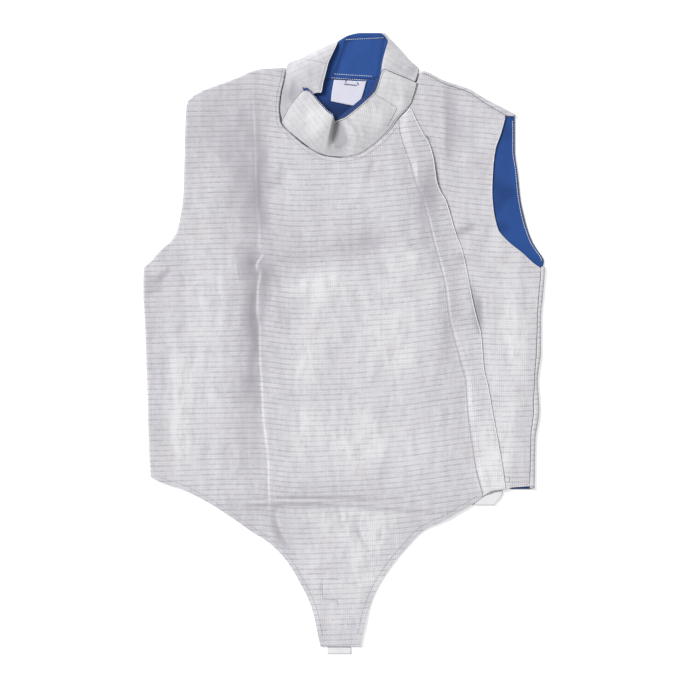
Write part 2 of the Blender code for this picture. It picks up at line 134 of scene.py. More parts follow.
HEM = table(
    "x y",
    (-242, -167), (-234, -172), (-204, -182), (-174, -197), (-144, -216), (-114, -237), (-99, -246),
    (-84, -259), (-69, -277), (-54, -303), (-45, -321), (-39, -339), (-35, -358), (-32, -372), (-30, -378.5),
    (20, -378.5), (21, -371), (24, -358), (30, -333), (40, -308), (55, -283), (75, -258), (100, -233),
    (125, -221), (148, -208), (168, -196), (179, -188), (190, -184), (210, -182), (238, -180),
)
hem = curve(HEM)
back_hem = curve(table(
    "x y",
    (-230, -166), (-180, -184), (-81, -196), (-5, -199), (59, -202), (120, -206), (158, -196), (195, -182.5),
    (238, -181),
))
neck_seam = curve(table("x y", (-76, 331), (-40, 330), (20, 330), (60, 332), (96, 338.5)))
neckline = curve(table(
    "x y",
    (-79, 274), (-71, 266), (-62, 258), (-52, 249.5), (-41, 242), (-24, 234), (-5, 232), (16, 235), (35, 246),
    (54, 263), (68, 282), (82, 296),
))
neck_side = curve(table("y x", (274, -79), (292, -81), (312, -79), (329, -75), (347, -72)))
stitch_line = curve(table(
    "y x",
    (-188, 173), (-157, 165), (-131, 161), (-88, 155), (-47, 152), (-17, 144), (31, 132), (74, 126),
    (128, 112), (152, 106), (181, 98), (199, 90), (225, 83), (246, 75), (266, 69.6), (283, 68),
))
FLAP_EDGE = table(
    "y x lift",
    (-185, 201, 0), (-168, 199, 0), (-131, 193, 0.1), (-88, 185, 0.1), (-53, 179, 0.1), (-32, 174, 0),
    (13, 170, 0.3), (31, 165, 0.9), (52, 160, 0.9), (78, 155, 0.2), (119, 146, 0), (134, 140, 0.5),
    (157, 133, 1.6), (179, 126, 3), (191, 119, 4.2), (202, 115, 5), (230, 111, 3.2), (248, 106, 2),
    (262, 98, 1.4), (279, 89, 1), (295, 82, 0.4),
)
flap_edge, flap_lift = curve(FLAP_EDGE), curve(FLAP_EDGE, 2)
side_depth = curve(table(
    "y depth",
    (-172, 5.8), (-126, 5.3), (-98, 6.6), (-77, 6.9), (-46, 3.6), (-12, 5.3), (29, 4.2), (67, 4.8), (89, 4.6),
))
shoulder_depth = curve(table("x depth", (94, 3.4), (156, 4.4), (203, 7.6), (209, 5.0), (214, 2.5)))
side_neck = curve(table("x y", (75, 289), (80, 296), (85, 312), (91, 327), (95, 335.5)))

# Creases of the front: a bowed line from one end to the other, how wide on its left and right side, how high.
CREASES = table(
    "x0 y0 x1 y1 bow left right height",
    (131, 330, 131, 222, 0, 5, 16, -1.2), (-118, -194.4, 24, -193, 1, 1.8, 3.6, -0.6),
    (-118, -197.8, 0, -197, 1, 2.4, 1.6, 0.25), (-118, -202.4, -6, -202, 1, 1.8, 3, -0.6),
    (-8, -199.4, 60, -204.4, 1, 3, 2, 0.45), (14, -207, 66, -209, 1, 3, 2.4, -0.6),
    (34, -211, 126, -214, 2, 3.4, 3, -0.9), (-120, -184, 80, -187, 3, 6, 6, -0.4),
    (-86, -206, -67, -258, -6, 8, 3.4, -1.5), (-9, -202, 3, -240, -1, 2, 2.6, -1.5),
    (1, -204, 4, -238, 0, 3, 4, 0.5), (13, -214, 34, -262, -3, 3.6, 2.8, -1.6),
    (45, -230, 44, -252, 0, 2.2, 2, -1.2), (-46, -286, -4, -292, 1, 3, 2.5, -0.5),
    (-28, -298, -27, -318, 0, 2.5, 2.5, -0.6), (-26, -318, -6, -326, 2, 3, 3, -0.6),
    (-28, -342, 10, -360, 2, 5, 4, 0.4), (138, 134, 168, 148, 0, 6, 5, -1.2),
    (142, 108, 158, 99, 1, 4, 5, -1.1), (160, 74, 172, 8, 0, 5, 7, -1.4), (60, 190, 66, 60, 6, 20, 14, 0.8),
    (-92, 104, 74, 136, -8, 13, 16, -0.8), (-78, 60, 20, 76, 5, 12, 12, 0.6),
    (-20, 140, -60, -60, 8, 24, 28, 0.9), (-132, 128, -128, 76, -2, 1.8, 15, -0.7),
    (-92, 100, -78, 60, 2, 6, 7, -0.8), (-155, 132, -153, -52, 0, 2.4, 11, 0.5),
    (150, 20, 154, -22, 0, 7, 5, 0.9), (-182, 71, -128, 70, 0, 1.6, 2.2, -0.5),
    (-232, 74, -214, 94, 2, 4, 4, -1.1), (-246, 62, -226, 66, 1, 2.5, 3, -0.8),
    (-206, 96, -190, 78, 1, 4, 5, 0.6), (-200, 60, -176, 84, -2, 5, 4, 0.5),
    (-212, 6, -196, 24, 1, 4, 5, -0.6), (-226, 40, -206, -120, 6, 16, 12, 0.7),
    (-160, 250, -172, 60, -6, 18, 14, 0.6), (10, 20, 96, -40, 10, 14, 18, 0.6),
    (206, 240, 190, 90, 6, 14, 12, 0.6), (214, 60, 206, -120, 4, 9, 12, 0.7),
    (186, 160, 236, 88, 10, 7, 9, -0.8), (-60, 232, -96, 190, 3, 8, 8, -0.6),
    (20, 226, 16, 176, 2, 6, 5, 0.6), (38, 232, 30, 190, -2, 5, 6, -0.6),
)
COLLAR_CREASES = table(
    "x0 y0 x1 y1 bow left right height",
    (-10, 281, -14, 248, 0, 1.6, 12, -2.4), (2, 281, 22, 259, 1, 2.6, 3.4, -1.5),
    (26, 302, 37, 290, 1, 3, 3, -0.6), (-38, 302, -36, 250, -2, 7, 6, 0.6),
    (-56, 300, -46, 268, 2, 5, 5, -0.5), (-62, 334, -68, 300, 1, 4, 4, -0.7),
    (-42, 348, -40, 320, 1, 4, 4, -0.5), (59, 351, 82, 333, 1, 4, 4, -0.8), (70, 346, 84, 350, 0, 3, 3, -0.4),
    (62, 322, 70, 300, 2, 4, 4, -0.4),
)

# The long storage fold: where it runs, how deep the cloth falls to it from the left, how high it stands after.
LONG_FOLD = table(
    "y x drop rise reach",
    (-206, -93, 0, 0, 14), (-188, -93.6, 0.6, -0.1, 14), (-153, -94.5, 1.1, -0.3, 16),
    (-115, -98, 1.5, -0.5, 20), (-97, -100.5, 1.8, -0.6, 22), (-57, -102.4, 2.6, -1.2, 24),
    (-14, -105, 3.3, -1.9, 22), (22, -105.6, 3.4, -2, 18), (42, -108.4, 3.2, -1.8, 14),
    (62, -108, 2.4, -0.7, 12), (76, -106.5, 2, -0.2, 10), (88, -104.6, 1.7, 0.1, 9),
    (93, -108.2, 1.5, 0.1, 8), (99, -109, 1.4, 0.1, 8), (110, -102.2, 1.2, 0.1, 8), (118, -105.6, 1, 0.1, 8),
    (142, -105.8, 0.8, 0.1, 9), (176, -109.3, 0.6, 0.1, 10), (251, -110.8, 0.5, 0.2, 10),
    (306, -113, 0.3, 0.2, 8), (334, -114, 0, 0.1, 8),
)
fold_line = curve(LONG_FOLD)

# The collar's stretches. Each row is a section from its low edge over its middle to its free edge.
SECTION = "low_x low_y low_z mid_x mid_y mid_z top_x top_y top_z"
LOBE_AND_TAB = table(
    SECTION,
    (-77.5, 276, 5.8, -64, 299, 11.4, -49, 316, 10.4), (-69.6, 266, 5.4, -56, 290, 13.2, -43, 313.5, 11.8),
    (-51, 250.5, 5.4, -40, 276, 14.8, -30, 299, 13.4), (-38, 241, 5.4, -28.5, 264, 15.6, -20, 288.5, 15),
    (-27, 236, 5.4, -19.5, 260, 14.6, -13.5, 283.5, 15.4), (-15, 233.4, 5.2, -14, 256, 8.6, -10.5, 277, 6.4),
    (-2, 233, 5, -3, 254, 7.6, 0, 280, 8.6), (16, 236, 4.9, 17, 262, 9, 14, 290, 10.6),
    (35, 247, 4.7, 32, 277, 8.8, 27, 301, 10.6), (53.4, 264, 4.8, 46, 294, 9.2, 40, 314, 10.6),
    (67.4, 283, 5.6, 60, 311, 9.8, 51, 340, 9.9), (75, 291, 6.6, 73, 312, 9.4, 71, 333, 9.2),
    (81.4, 297, 6, 86.5, 310, 6.4, 91, 325, 6.4),
)
COLLAR_LEFT = table(
    SECTION,
    (-76.5, 277, 4.6, -58, 298, 6.4, -43, 313, 7.2), (-79.6, 292, 4.6, -54, 306, 7.2, -29.5, 313, 8.4),
    (-77.6, 312, 4.6, -51, 322, 8.4, -26.5, 325, 9.2), (-73.6, 330, 4.6, -48, 336, 8.8, -23, 338, 9.6),
    (-70.5, 348, 2.9, -44, 348, 8.4, -20, 350, 9.6), (-54, 356, 2.9, -35, 357, 7.8, -15.5, 360, 9.2),
    (-39, 363.4, 2.9, -25, 366, 6.8, -11, 369.5, 8.2), (-18, 373.4, 2.9, -13, 374.4, 3.6, -8, 376.6, 4.6),
)
COLLAR_RIGHT = table(
    SECTION,
    (82.4, 312, 4.6, 63, 317, 4.9, 42, 322, 4.9), (88.6, 327, 4.6, 68, 333, 5.8, 46, 335, 5.7),
    (92.6, 342.6, 2.9, 72, 345, 6.8, 48, 349, 6.8), (83, 353, 2.9, 66, 357, 6.6, 50, 358, 7.4),
    (71.5, 366, 2.9, 61, 368, 5.4, 53, 368, 6.8), (60.4, 378.2, 2.9, 58.4, 379, 3.4, 56.6, 380, 4.2),
)
EDGE_LINING = table(
    SECTION,
    (-8, 270.5, 5.4, -9.5, 274.5, 5.4, -11, 278.5, 5.2), (6, 278, 8.2, 3, 283, 7.4, 0, 288, 5.4),
    (24, 293, 8.8, 20, 297, 7.8, 16, 301, 5.4), (41, 310, 8.6, 37, 313, 7.6, 32, 316, 5.4),
    (49.5, 329, 8, 45, 331, 7.4, 39.5, 332, 5.6),
)

# Flat pieces, by height: where each begins and ends across.
ARMHOLE_LINING = table(
    "y left right",
    (95.5, 232, 246.5), (100, 226, 249), (106, 216, 248), (117, 202, 240.6), (129, 190, 233.6),
    (161, 174, 223.4), (189, 170, 218.6), (217, 171, 216), (242, 174, 212.6), (263, 180, 212.6),
    (284.4, 190, 212.4),
)
NECK_LINING = table(
    "y left right",
    (246, -48, 40), (262, -66, 56), (280, -74, 70), (300, -77, 80), (318, -75, 87), (329.6, -72, 90),
)
HEM_LINING = table("y left right", (-181.4, 206, 235.4), (-166, 206, 232))
NECK_LABEL = table("y left right", (302.2, -16.3, 16), (312, -15.4, 22), (329.3, -12.5, 28))
HEM_TAB = table("y left right", (-202, 160, 187), (-187, 161, 198), (-172, 162, 199))
GROIN_TAB = table("y left right", (-388, -21, 9), (-352, -21, 9))

# Paler, rubbed places of the conductive cloth, a few of them painted highlights along creases, and (below zero)
# duller places, many of them painted shade: in creases, beside the long fold, in the collar's valley and beside
# the flap.
WEAR_AND_SHADING_SPOTS = table(
    "x y across along strength",
    (-182, 8, 22, 56, 0.5), (-198, -60, 14, 44, 0.55), (-202, -132, 14, 28, 0.8), (-166, -90, 18, 70, 0.4),
    (-228, -60, 10, 90, -0.35), (-205, 84, 12, 20, -0.3), (-125, 200, 15, 80, -0.5),
    (-104, 190, 12, 90, -0.8), (-98, 82, 9, 26, -0.7), (-150, 280, 60, 60, -0.35), (-160, 170, 40, 40, -0.2),
    (-74, 310, 4, 26, -0.4), (-42, 262, 12, 14, -0.2), (-30, -150, 90, 34, 0.2), (36, -228, 22, 12, 0.6),
    (-122, 100, 10, 26, -0.2), (-113, 30, 8, 76, -0.9), (-124, 20, 11, 66, -0.35), (-102, 20, 8, 60, -0.5),
    (-76, 45, 16, 34, -0.35), (-238, 78, 12, 8, -0.3), (17, -133, 10, 12, 0.6), (92, 108, 14, 12, 0.7),
    (70, 296, 8, 10, 0.6), (30, -270, 22, 50, 0.5), (-36, -110, 34, 50, 0.35), (-212, -100, 18, 60, 0.35),
    (36, 50, 34, 50, 0.4), (36, -236, 18, 16, 0.6), (184, -166, 26, 18, 0.8), (131, 45, 12, 60, -0.7),
    (169, 38, 4, 20, -1), (-30, 280, 9, 22, 0.7), (-24, 252, 8, 8, 0.9), (36, 280, 14, 10, 0.5),
    (-122, -90, 13, 80, -0.4), (-245, 30, 12, 60, -0.3), (-40, 70, 44, 14, 0.5), (-46, -28, 16, 20, 0.55),
    (-52, -107, 12, 30, 0.6), (30, -70, 60, 90, 0.35), (66, -16, 34, 34, 0.4), (20, -130, 26, 40, 0.5),
    (90, -130, 40, 46, 0.3), (92, 50, 36, 44, 0.55), (-10, 196, 46, 30, 0.35), (-70, 210, 14, 40, 0.45),
    (-206, 170, 14, 60, 0.1), (-170, 60, 20, 50, 0.2), (206, 20, 26, 110, 0.6), (192, -130, 24, 40, 0.75),
    (162, -40, 12, 60, 0.3), (196, 230, 22, 50, 0.35), (-8, -216, 100, 12, 0.6), (20, -232, 40, 20, 0.5),
    (-4, -290, 46, 60, 0.55), (-10, 130, 90, 12, -0.2), (-4, 102, 80, 10, -0.1), (-44, -192.8, 70, 2.4, -0.6),
    (-44, -197.4, 74, 1.8, 0.15), (-46, -202.2, 70, 2.2, -0.7), (16, -197, 56, 7, -0.5),
    (160, -74, 9, 30, 0.5), (-155, 229, 30, 34, -0.2), (-96, -206, 22, 5, -0.5), (176, -140, 9, 40, 0.5),
    (-62, 312, 12, 16, -0.5), (-46, 304, 8, 10, -0.4), (24, 292, 34, 26, 0.5), (62, 330, 14, 34, 0.35),
    (-30, 276, 20, 26, 0.2), (-7, 259, 7, 14, -1.9), (-3, 254, 10, 7, -0.9), (104, 190, 16, 56, -0.7),
    (60, 150, 40, 30, -0.15),
)


def soft_noise(x, y, cell, seed):
    """Smooth random numbers from -1 to 1: values on a lattice of that cell, joined by the ease curve."""
    lattice = np.random.default_rng(seed).uniform(-1, 1, (64, 64))
    u, v = x / cell + 32, y / cell + 32
    i, j = np.floor(u).astype(int), np.floor(v).astype(int)
    s, t = ease(u - i), ease(v - j)
    low = lattice[i % 64, j % 64] * (1 - s) + lattice[(i + 1) % 64, j % 64] * s
    high = lattice[i % 64, (j + 1) % 64] * (1 - s) + lattice[(i + 1) % 64, (j + 1) % 64] * s
    return low * (1 - t) + high * t


def rumple(x, y, seed=1):
    """Small unevenness of worn cloth: wide swells, short ripples, and streaks that run up and down."""
    wide = soft_noise(x + 0.3 * y, y - 0.2 * x, 58, seed)
    short = soft_noise(x - 0.4 * y, y + 0.3 * x, 21, seed + 1)
    streak = soft_noise(x / 13, y / 70, 1.0, seed + 2)
    return 0.42 * wide + 0.20 * short + 0.22 * streak


def crease_rise(x, y, creases=CREASES):
    """Every crease is a ridge or trough about a bowed line, steeper on one side, and fades at its ends."""
    rise = np.zeros(np.broadcast(x, y).shape)
    for k in range(len(creases["x0"])):
        c = {name: column[k] for name, column in creases.items()}
        dx, dy = c["x1"] - c["x0"], c["y1"] - c["y0"]
        length = math.hypot(dx, dy)
        s = np.clip(((x - c["x0"]) * dx + (y - c["y0"]) * dy) / length**2, 0, 1)
        off = ((y - c["y0"]) * dx - (x - c["x0"]) * dy) / length - c["bow"] * 4 * s * (1 - s)
        wide = np.where(off > 0, c["right"], c["left"])
        rise += c["height"] * np.sin(math.pi * s) ** 0.6 * bell(off / wide)
    return rise


def long_fold_rise(x, y):
    """Two fading slopes fall towards the fold from the left, and one fades from its crest to the right."""
    middle, drop, high, reach = (curve(LONG_FOLD, k)(y) for k in (1, 2, 3, 4))
    off = x - middle
    after = 1 / (1 + np.exp(-np.clip(off / 0.45, -30, 30)))
    left = np.minimum(off, 0)
    uneven = 1.05 + 0.45 * soft_noise(y / 7, 0 * y, 1.0, 63)
    fall = drop * (0.6 * np.exp(left / 8) + 0.4 * np.exp(left / 24))
    crest = high * np.exp(-np.maximum(off, 0) / reach)
    return uneven * (crest * after - fall * (1 - after))


def near(x, y, x0, x1, y0, y1, blur=14):
    """1 inside a rectangle, easing to 0 over blur outside it."""
    across = ease((x - x0 + blur) / blur) * ease((x1 + blur - x) / blur)
    return across * ease((y - y0 + blur) / blur) * ease((y1 + blur - y) / blur)


def room_for_lining(x, y):
    """1 where lining lies between the front and the back: at the neck, the right armhole and the right hem."""
    neck = near(x, y, -82, 92, 244, 330)
    armhole = near(x, y, 168, 252, 98, 282)
    return np.maximum(np.maximum(neck, armhole), near(x, y, 204, 238, -184, -164))


def at_least(z, low, soft=0.35):
    """z, turned smoothly so that it stays above low."""
    return low + soft * np.logaddexp(0, (z - low) / soft)


def front_height(x, y):
    """Outer face of the front: a low swell over the back, then down to the floor past the back's hem."""
    swell = 1.6 * np.cos(np.clip(x / 250, -1, 1) * math.pi / 2) ** 2
    swell = swell * np.cos(np.clip((y - 60) / 250, -1, 1) * math.pi / 2) ** 2
    past = ease((back_hem(x) - y) / 40)
    tip = ease((-316 - y) / 36) * (CLOTH + GAP - 0.1)
    rise = crease_rise(x, y) + rumple(x, y) + long_fold_rise(x, y)
    beside_flap = stitch_line(np.clip(y, -188, 283)) - x
    dip = -1.2 * bell(beside_flap / np.where(beside_flap > 0, 13, 26)) * ease((290 - y) / 30)
    room = 0.7 * bell((x + 112) / 60) * (1 - ease((y - 200) / 80))
    loft = ease((y - hem(x)) / 90)
    base = (FRONT_TOP + 0.3 + swell + room) * (1 - past) + (CLOTH + 0.5 + loft) * past + tip
    low = (2.8 + 1.2 * room_for_lining(x, y)) * (1 - past) + CLOTH * past + tip
    return at_least(base + (rise + dip) * ease((y + 372) / 20), low)


def side_height(x, y):
    """Outer face of the side panel: the front's, sunk a little where the flap lies on it."""
    y_flap = np.clip(y, -188, 290)
    across = ease((x - stitch_line(y_flap)) / 26) * (1 - ease((x - flap_edge(y_flap)) / 18))
    under_flap = across * ease((y + 160) / 30) * (1 - ease((y - 235) / 30))
    return at_least(front_height(x, y) - 1.2 * under_flap, 2.7, 0.2)


def folded(turn, extra, top, upward):
    """A U-turn's way out and height: turn 0 to 1 runs round the half circle, and extra goes on flat."""
    radius = top / 2
    out = radius * np.sin(turn * math.pi) - extra
    down = radius * (1 - np.cos(turn * math.pi))
    return out, down if upward else top - down


def spread(stations, count):
    """count numbers through the stations, closest together where the stations are."""
    stations = np.asarray(stations, float)
    return np.interp(np.linspace(0, len(stations) - 1, count), np.arange(len(stations)), stations)


ARC_STEPS = np.arange(1, 9) / 8


def fold_marks(extra):
    """Round the U-turn and on over its flat end: the turn and the extra of each step."""
    return np.append(ARC_STEPS, [1.0, 1.0]), np.append(np.zeros(len(ARC_STEPS)), [extra / 2, extra])


def with_turn(x, y, z, shown, out, height, over):
    """A grid with a U-turn past its last row, shown in the columns where over says so."""
    rows = len(out)
    x = np.vstack([x, np.repeat(x[-1:], rows, 0)])
    y, z = np.vstack([y, y[-1] + out]), np.vstack([z, height + out * 0])
    return x, y, z, np.vstack([shown, np.repeat(over[None], rows, 0)])


FRONT_LEFT, FRONT_RIGHT = -242.0, 173.0  # the front's first and last column at the hem
# Where its columns stand at the hem: closest together beside the long fold and at the groin flap's corners.
FRONT_HEM_STATIONS = (
    -242, -236, -224, -212, -200, -188, -176, -164, -152, -142, -132, -124, -119, -116, -113, -110, -107, -104,
    -101, -98, -95, -92, -89, -86, -82, -77, -70, -62, -56, -48, -40, -35, -31.5, -29.5, -20, -10, 0, 10, 19.5,
    21, 24, 29, 36, 46, 57, 68, 79, 90, 101, 112, 123, 134, 144, 153, 160, 166, 170, 173,
)
HEM_STEPS = spread((0, 0.03, 0.08, 0.2, 0.35, 0.5, 0.62, 0.72, 0.8, 0.87, 0.92, 0.96, 1), 73)
NECK_F = (-56 - FRONT_LEFT) / (FRONT_RIGHT - FRONT_LEFT)  # the column through the neck's left corner


def front_left(y):
    """The front's left edge: inside the fold below the arm, just inside the back's edge round the armhole."""
    at_fold = 1 - ease((y - UNDERARM_Y) / 8)
    return left_edge(y) + FOLD_R * at_fold + 0.8 * (1 - at_fold)


def front_x(f, y):
    """Across the front: from its left edge to the flap's stitch line by f."""
    return front_left(y) * (1 - f) + stitch_line(y) * f


def front_top(f):
    """Where a column of the lower part ends: on the level of the neck's corner, or on the neckline."""
    y = np.full(f.shape, 250.0)
    for _ in range(8):
        y = neckline(front_x(f, y))
    return np.where(f <= NECK_F + 1e-6, NECK_LEVEL_Y, y)


def front_main_grid():
    """Three blocks from hem to neck level, a high block beside the neck, and U-turns at left and top.

    Across, x goes from the left edge to the flap's stitch line by f. Up, y goes from edge to edge by v. The
    lowest block ends on the level of the back's hem, and at the sides 40 mm above the front's own.
    """
    turn, extra = (marks[:, None] for marks in fold_marks(UNDER_WRAP))
    f = (spread(FRONT_HEM_STATIONS, 170) - FRONT_LEFT) / (FRONT_RIGHT - FRONT_LEFT)
    f[np.argmin(abs(f - NECK_F))] = NECK_F
    edge = hem(FRONT_LEFT + (FRONT_RIGHT - FRONT_LEFT) * f)
    levels = edge, edge + np.maximum(-186 - edge, 40), np.full(f.shape, UNDERARM_Y), front_top(f)
    steps = HEM_STEPS, np.linspace(0, 1, 85)[1:], np.linspace(0, 1, 61)[1:]
    blocks = []
    for start, end, v in zip(levels, levels[1:], steps):
        y = start + (end - start) * v[:, None]
        blocks.append((front_x(f, y), y))
    v = np.linspace(0, 1, 34)[1:, None]
    along = f / NECK_F
    y = NECK_LEVEL_Y + v * np.zeros(f.shape)
    for _ in range(6):
        x = front_left(y) * (1 - along) + neck_side(y) * along
        y = NECK_LEVEL_Y + (shoulder(x) - FOLD_R - NECK_LEVEL_Y) * v
    blocks.append((x, y))
    x, y = (np.vstack(part) for part in zip(*blocks))
    z = front_height(x, y)
    shown = np.ones(x.shape, bool)
    shown[-len(v):, f > NECK_F + 1e-6] = False
    x, y, z, shown = with_turn(x, y, z, shown, *folded(turn, extra, z[-1], False), shown[-1])
    below_arm = np.arange(len(x)) < len(steps[0]) + len(steps[1])
    out, height = folded(turn, extra, z[:, 0], False)
    y, x, z, shown = with_turn(y.T[::-1], x.T[::-1], z.T[::-1], shown.T[::-1], -out, height, below_arm)
    return np.stack([x, y, z], -1)[::-1].swapaxes(0, 1), shown[::-1].T


def back_left(y):
    """Below the arm the back ends inside the front's left fold, and round the armhole on the outline."""
    clear = FOLD_R + UNDER_WRAP + GAP
    return left_edge(y) + clear * (1 - ease((y - UNDERARM_Y - 3) / 14))


def back_right(y):
    """Where the back's right U-turn begins: a radius inside the outline, and on it round the armhole."""
    return right_edge(y) - FOLD_R * (1 - ease((y - UNDERARM_Y) / 8))


BACK_SHOULDER_F = 0.712  # the column where the back's right shoulder begins
COARSE = 0.6  # room for the difference between the solids' facets and these curves


def back_top(x):
    """Under the front's left shoulder, along the neck seam, and up to the right shoulder's U-turn."""
    under = shoulder(x) - FOLD_R - UNDER_WRAP - GAP - COARSE
    return np.where(x < -73, under, np.where(x < NECK_CORNER_X, neck_seam(x), shoulder(x) - FOLD_R))


def back_grid():
    """Two blocks, hem to underarm to shoulder, with U-turns over the right side and the right shoulder.

    The U-turns end at the seams, which show on the front a few millimetres inside the outline.
    """
    left = np.linspace(0, BACK_SHOULDER_F, 70)
    f = np.concatenate([left, np.linspace(BACK_SHOULDER_F, 1, 34)[1:]])
    v = np.linspace(0, 1, 70)[:, None]
    start = back_hem(-228 + 466 * f)
    y_low = start + (UNDERARM_Y - start) * v
    x_low = back_left(y_low) * (1 - f) + back_right(y_low) * f
    v = np.linspace(0, 1, 60)[1:, None]
    top = 200 + v * np.zeros(f.shape)
    for _ in range(8):
        top = back_top(back_left(top) * (1 - f) + back_right(top) * f)
    y = UNDERARM_Y + (top - UNDERARM_Y) * v
    x = back_left(y) * (1 - f) + back_right(y) * f
    x, y = np.vstack([x_low, x]), np.vstack([y_low, y])
    z = np.zeros(x.shape)
    turn, extra = (marks[:, None] for marks in fold_marks(1.0))
    turned = folded(turn, extra * (shoulder_depth(x[-1]) - FOLD_R), FRONT_TOP + 0.3, True)
    x, y, z, shown = with_turn(x, y, z, np.ones(x.shape, bool), *turned, f >= BACK_SHOULDER_F - 1e-6)
    turned = folded(turn, extra * (side_depth(y[:, -1]) - FOLD_R), FRONT_TOP + 0.3, True)
    y, x, z, shown = with_turn(y.T, x.T, z.T, shown.T, *turned, np.arange(len(x)) < len(y_low))
    return np.stack([x, y, z], -1).swapaxes(0, 1), shown.T


def side_left(y):
    """The side panel begins a little to the right of the flap's stitch line."""
    return stitch_line(y) + FLAP_START


def side_right(y):
    """The side panel ends at the seam with the back, and above the underarm at the armhole."""
    seam = right_edge(y) - side_depth(y) - GAP
    return np.where(y < SIDE_BLOCK_Y, seam, np.minimum(armhole_edge(y), seam))


def side_top(x):
    """The side panel's upper edge: the neck's right side, then the shoulder seam."""
    seam = shoulder(x) - shoulder_depth(x) - GAP - 0.2
    return np.where(x < NECK_CORNER_X, np.minimum(side_neck(x), seam), seam)


def front_side_grid():
    """From the hem to the underarm and on to the shoulder, between the flap's line and the side and armhole."""
    f = spread((0, 0.1, 0.3, 0.5, 0.7, 0.88, 0.96, 1), 56)
    v = spread((0, 0.03, 0.08, 0.25, 0.5, 0.75, 1), 120)[:, None]
    start = hem(180 + 52 * f) + 0.4 + 1.8 * ease((180 + 52 * f - 204) / 8)
    y_low = start + (SIDE_BLOCK_Y - start) * v
    x_low = side_left(y_low) * (1 - f) + side_right(y_low) * f
    v = np.linspace(0, 1, 110)[1:, None]
    y = 200 + v * np.zeros(f.shape)
    for _ in range(10):
        x = side_left(y) * (1 - f) + side_right(y) * f
        y = SIDE_BLOCK_Y + (side_top(x) - SIDE_BLOCK_Y) * v
    x, y = np.vstack([x_low, x]), np.vstack([y_low, y])
    return np.stack([x, y, side_height(x, y)], -1), np.ones(x.shape, bool)


def flap_height(x, y):
    """The flap over the front: up from its stitch line in a short rise, then held off at its free edge."""
    left, lift = stitch_line(y) + GAP, flap_lift(y)
    f = np.clip((x - left) / (flap_edge(y) - left), 0, 1)
    riser = ease((x - left) / (3 + 6 * ease((30 - y) / 60) + 9 * ease((y - 205) / 30)))
    held = side_height(x, y) + FLAP_LIFT + 0.75 * lift
    return front_height(x, y) * (1 - riser) + held * riser - 0.25 * lift * f**2


def closure_flap_grid():
    """The flap between its stitch line and its free edge, which slopes up and out."""
    f = spread((0, 0.12, 0.4, 0.75, 0.93, 1), 26)
    v = np.linspace(0, 1, 230)[:, None]
    low, high = hem(173 + 27 * f) + 0.2, 282.5 + 12.5 * f
    y = low + (high - low) * v
    left = stitch_line(y) + GAP
    x = left + (flap_edge(y) - left) * f
    return np.stack([x, y, flap_height(x, y)], -1), np.ones(x.shape, bool)


def section_points(rows, s, t, roll=False):
    """Through a stretch of collar: its edges and middles follow s, and t bends a parabola through the three.

    roll rounds the low edge down as cloth does at a fold.
    """
    count = len(rows["low_x"])
    stations = np.arange(count, dtype=float)
    s, t = np.broadcast_arrays(np.asarray(s, float) * (count - 1), np.asarray(t, float))
    point = []
    for axis in "xyz":
        low, mid, top = (follow(s, stations, rows[f"{edge}_{axis}"]) for edge in ("low", "mid", "top"))
        bent = low * (1 - t) * (1 - 2 * t) + 4 * mid * t * (1 - t) + top * t * (2 * t - 1)
        if axis == "z" and roll:
            rounded = np.sqrt(np.clip(1 - (1 - np.minimum(t / 0.3, 1)) ** 2, 0, 1))
            line = low + (top - low) * t
            bent = low + (np.maximum(bent, line) - low) * (rounded * (1 - t) + t)
        point.append(bent)
    return np.stack(point, -1)


def strip_points(rows, u, v):
    """A flat piece between its left and right edges: u goes across and v up."""
    y = rows["y"][0] + (rows["y"][-1] - rows["y"][0]) * v
    left, right = (follow(y, rows["y"], rows[side]) for side in ("left", "right"))
    x = left + (right - left) * u
    return np.stack(np.broadcast_arrays(x, y, 0.0), -1)


def across_up(wide, deep):
    """A row of numbers from 0 to 1 and a column of them."""
    return np.linspace(0, 1, wide)[None, :], np.linspace(0, 1, deep)[:, None]


def stretch_grid(rows, wide, ups, rough, seed, rolled):
    """A stretch of the collar with its unevenness and creases, which fade towards its long edges."""
    t = ups[:, None]
    points = section_points(rows, np.linspace(0, 1, wide)[None, :], t, rolled)
    x, y = points[..., 0], points[..., 1]
    rise = rough * rumple(x * 1.6, y * 1.6, seed) + crease_rise(x, y, COLLAR_CREASES)
    points[..., 2] += rise * (np.sin(math.pi * t) if rolled else ease(t * 5) * ease((1.08 - t) * 5))
    return points


def collar_back_grid(wall_up, left, right, low_gap, inset):
    """The band behind the neck, from the neck seam to the collar's top edge."""
    f, v = across_up(90, 26)
    x = left + (right - left) * f
    low, high = neck_seam(x) + low_gap, collar_top(x) - inset(x)
    y = low + (high - low) * v
    return np.stack(np.broadcast_arrays(x, y, wall_up), -1)


def lining_inset(x):
    """How far the blue lining stays below the collar's top edge: more at both ends."""
    return 0.2 + 6.0 * np.maximum(ease((-4 - x) / 14), ease((x - 45) / 10))


def strip_grid(rows, under, wide, deep, sag=0.0, seed=41):
    """A flat strip, with small ripples that never go below its bed."""
    points = strip_points(rows, *across_up(wide, deep)).copy()
    points[..., 2] = under + sag * (1 + rumple(points[..., 0] * 1.5, points[..., 1] * 1.5, seed))
    return points


UP_THE_COLLAR = (0, 0.03, 0.1, 0.25, 0.5, 0.75, 1)  # rows of the folded stretches, close together at the fold

# Making meshes


def new_object(name, vertices, faces, material):
    """A smooth mesh from places in millimetres, shifted into the part's frame."""
    mesh = bpy.data.meshes.new(name)
    mesh.from_pydata(((vertices + (SHIFT_X, 0, 0)) * MM).tolist(), [], faces.tolist())
    mesh.polygons.foreach_set("use_smooth", np.ones(len(faces), bool))
    mesh.materials.append(material)
    mesh.update()
    obj = bpy.data.objects.new(name, mesh)
    bpy.context.scene.collection.objects.link(obj)
    return obj


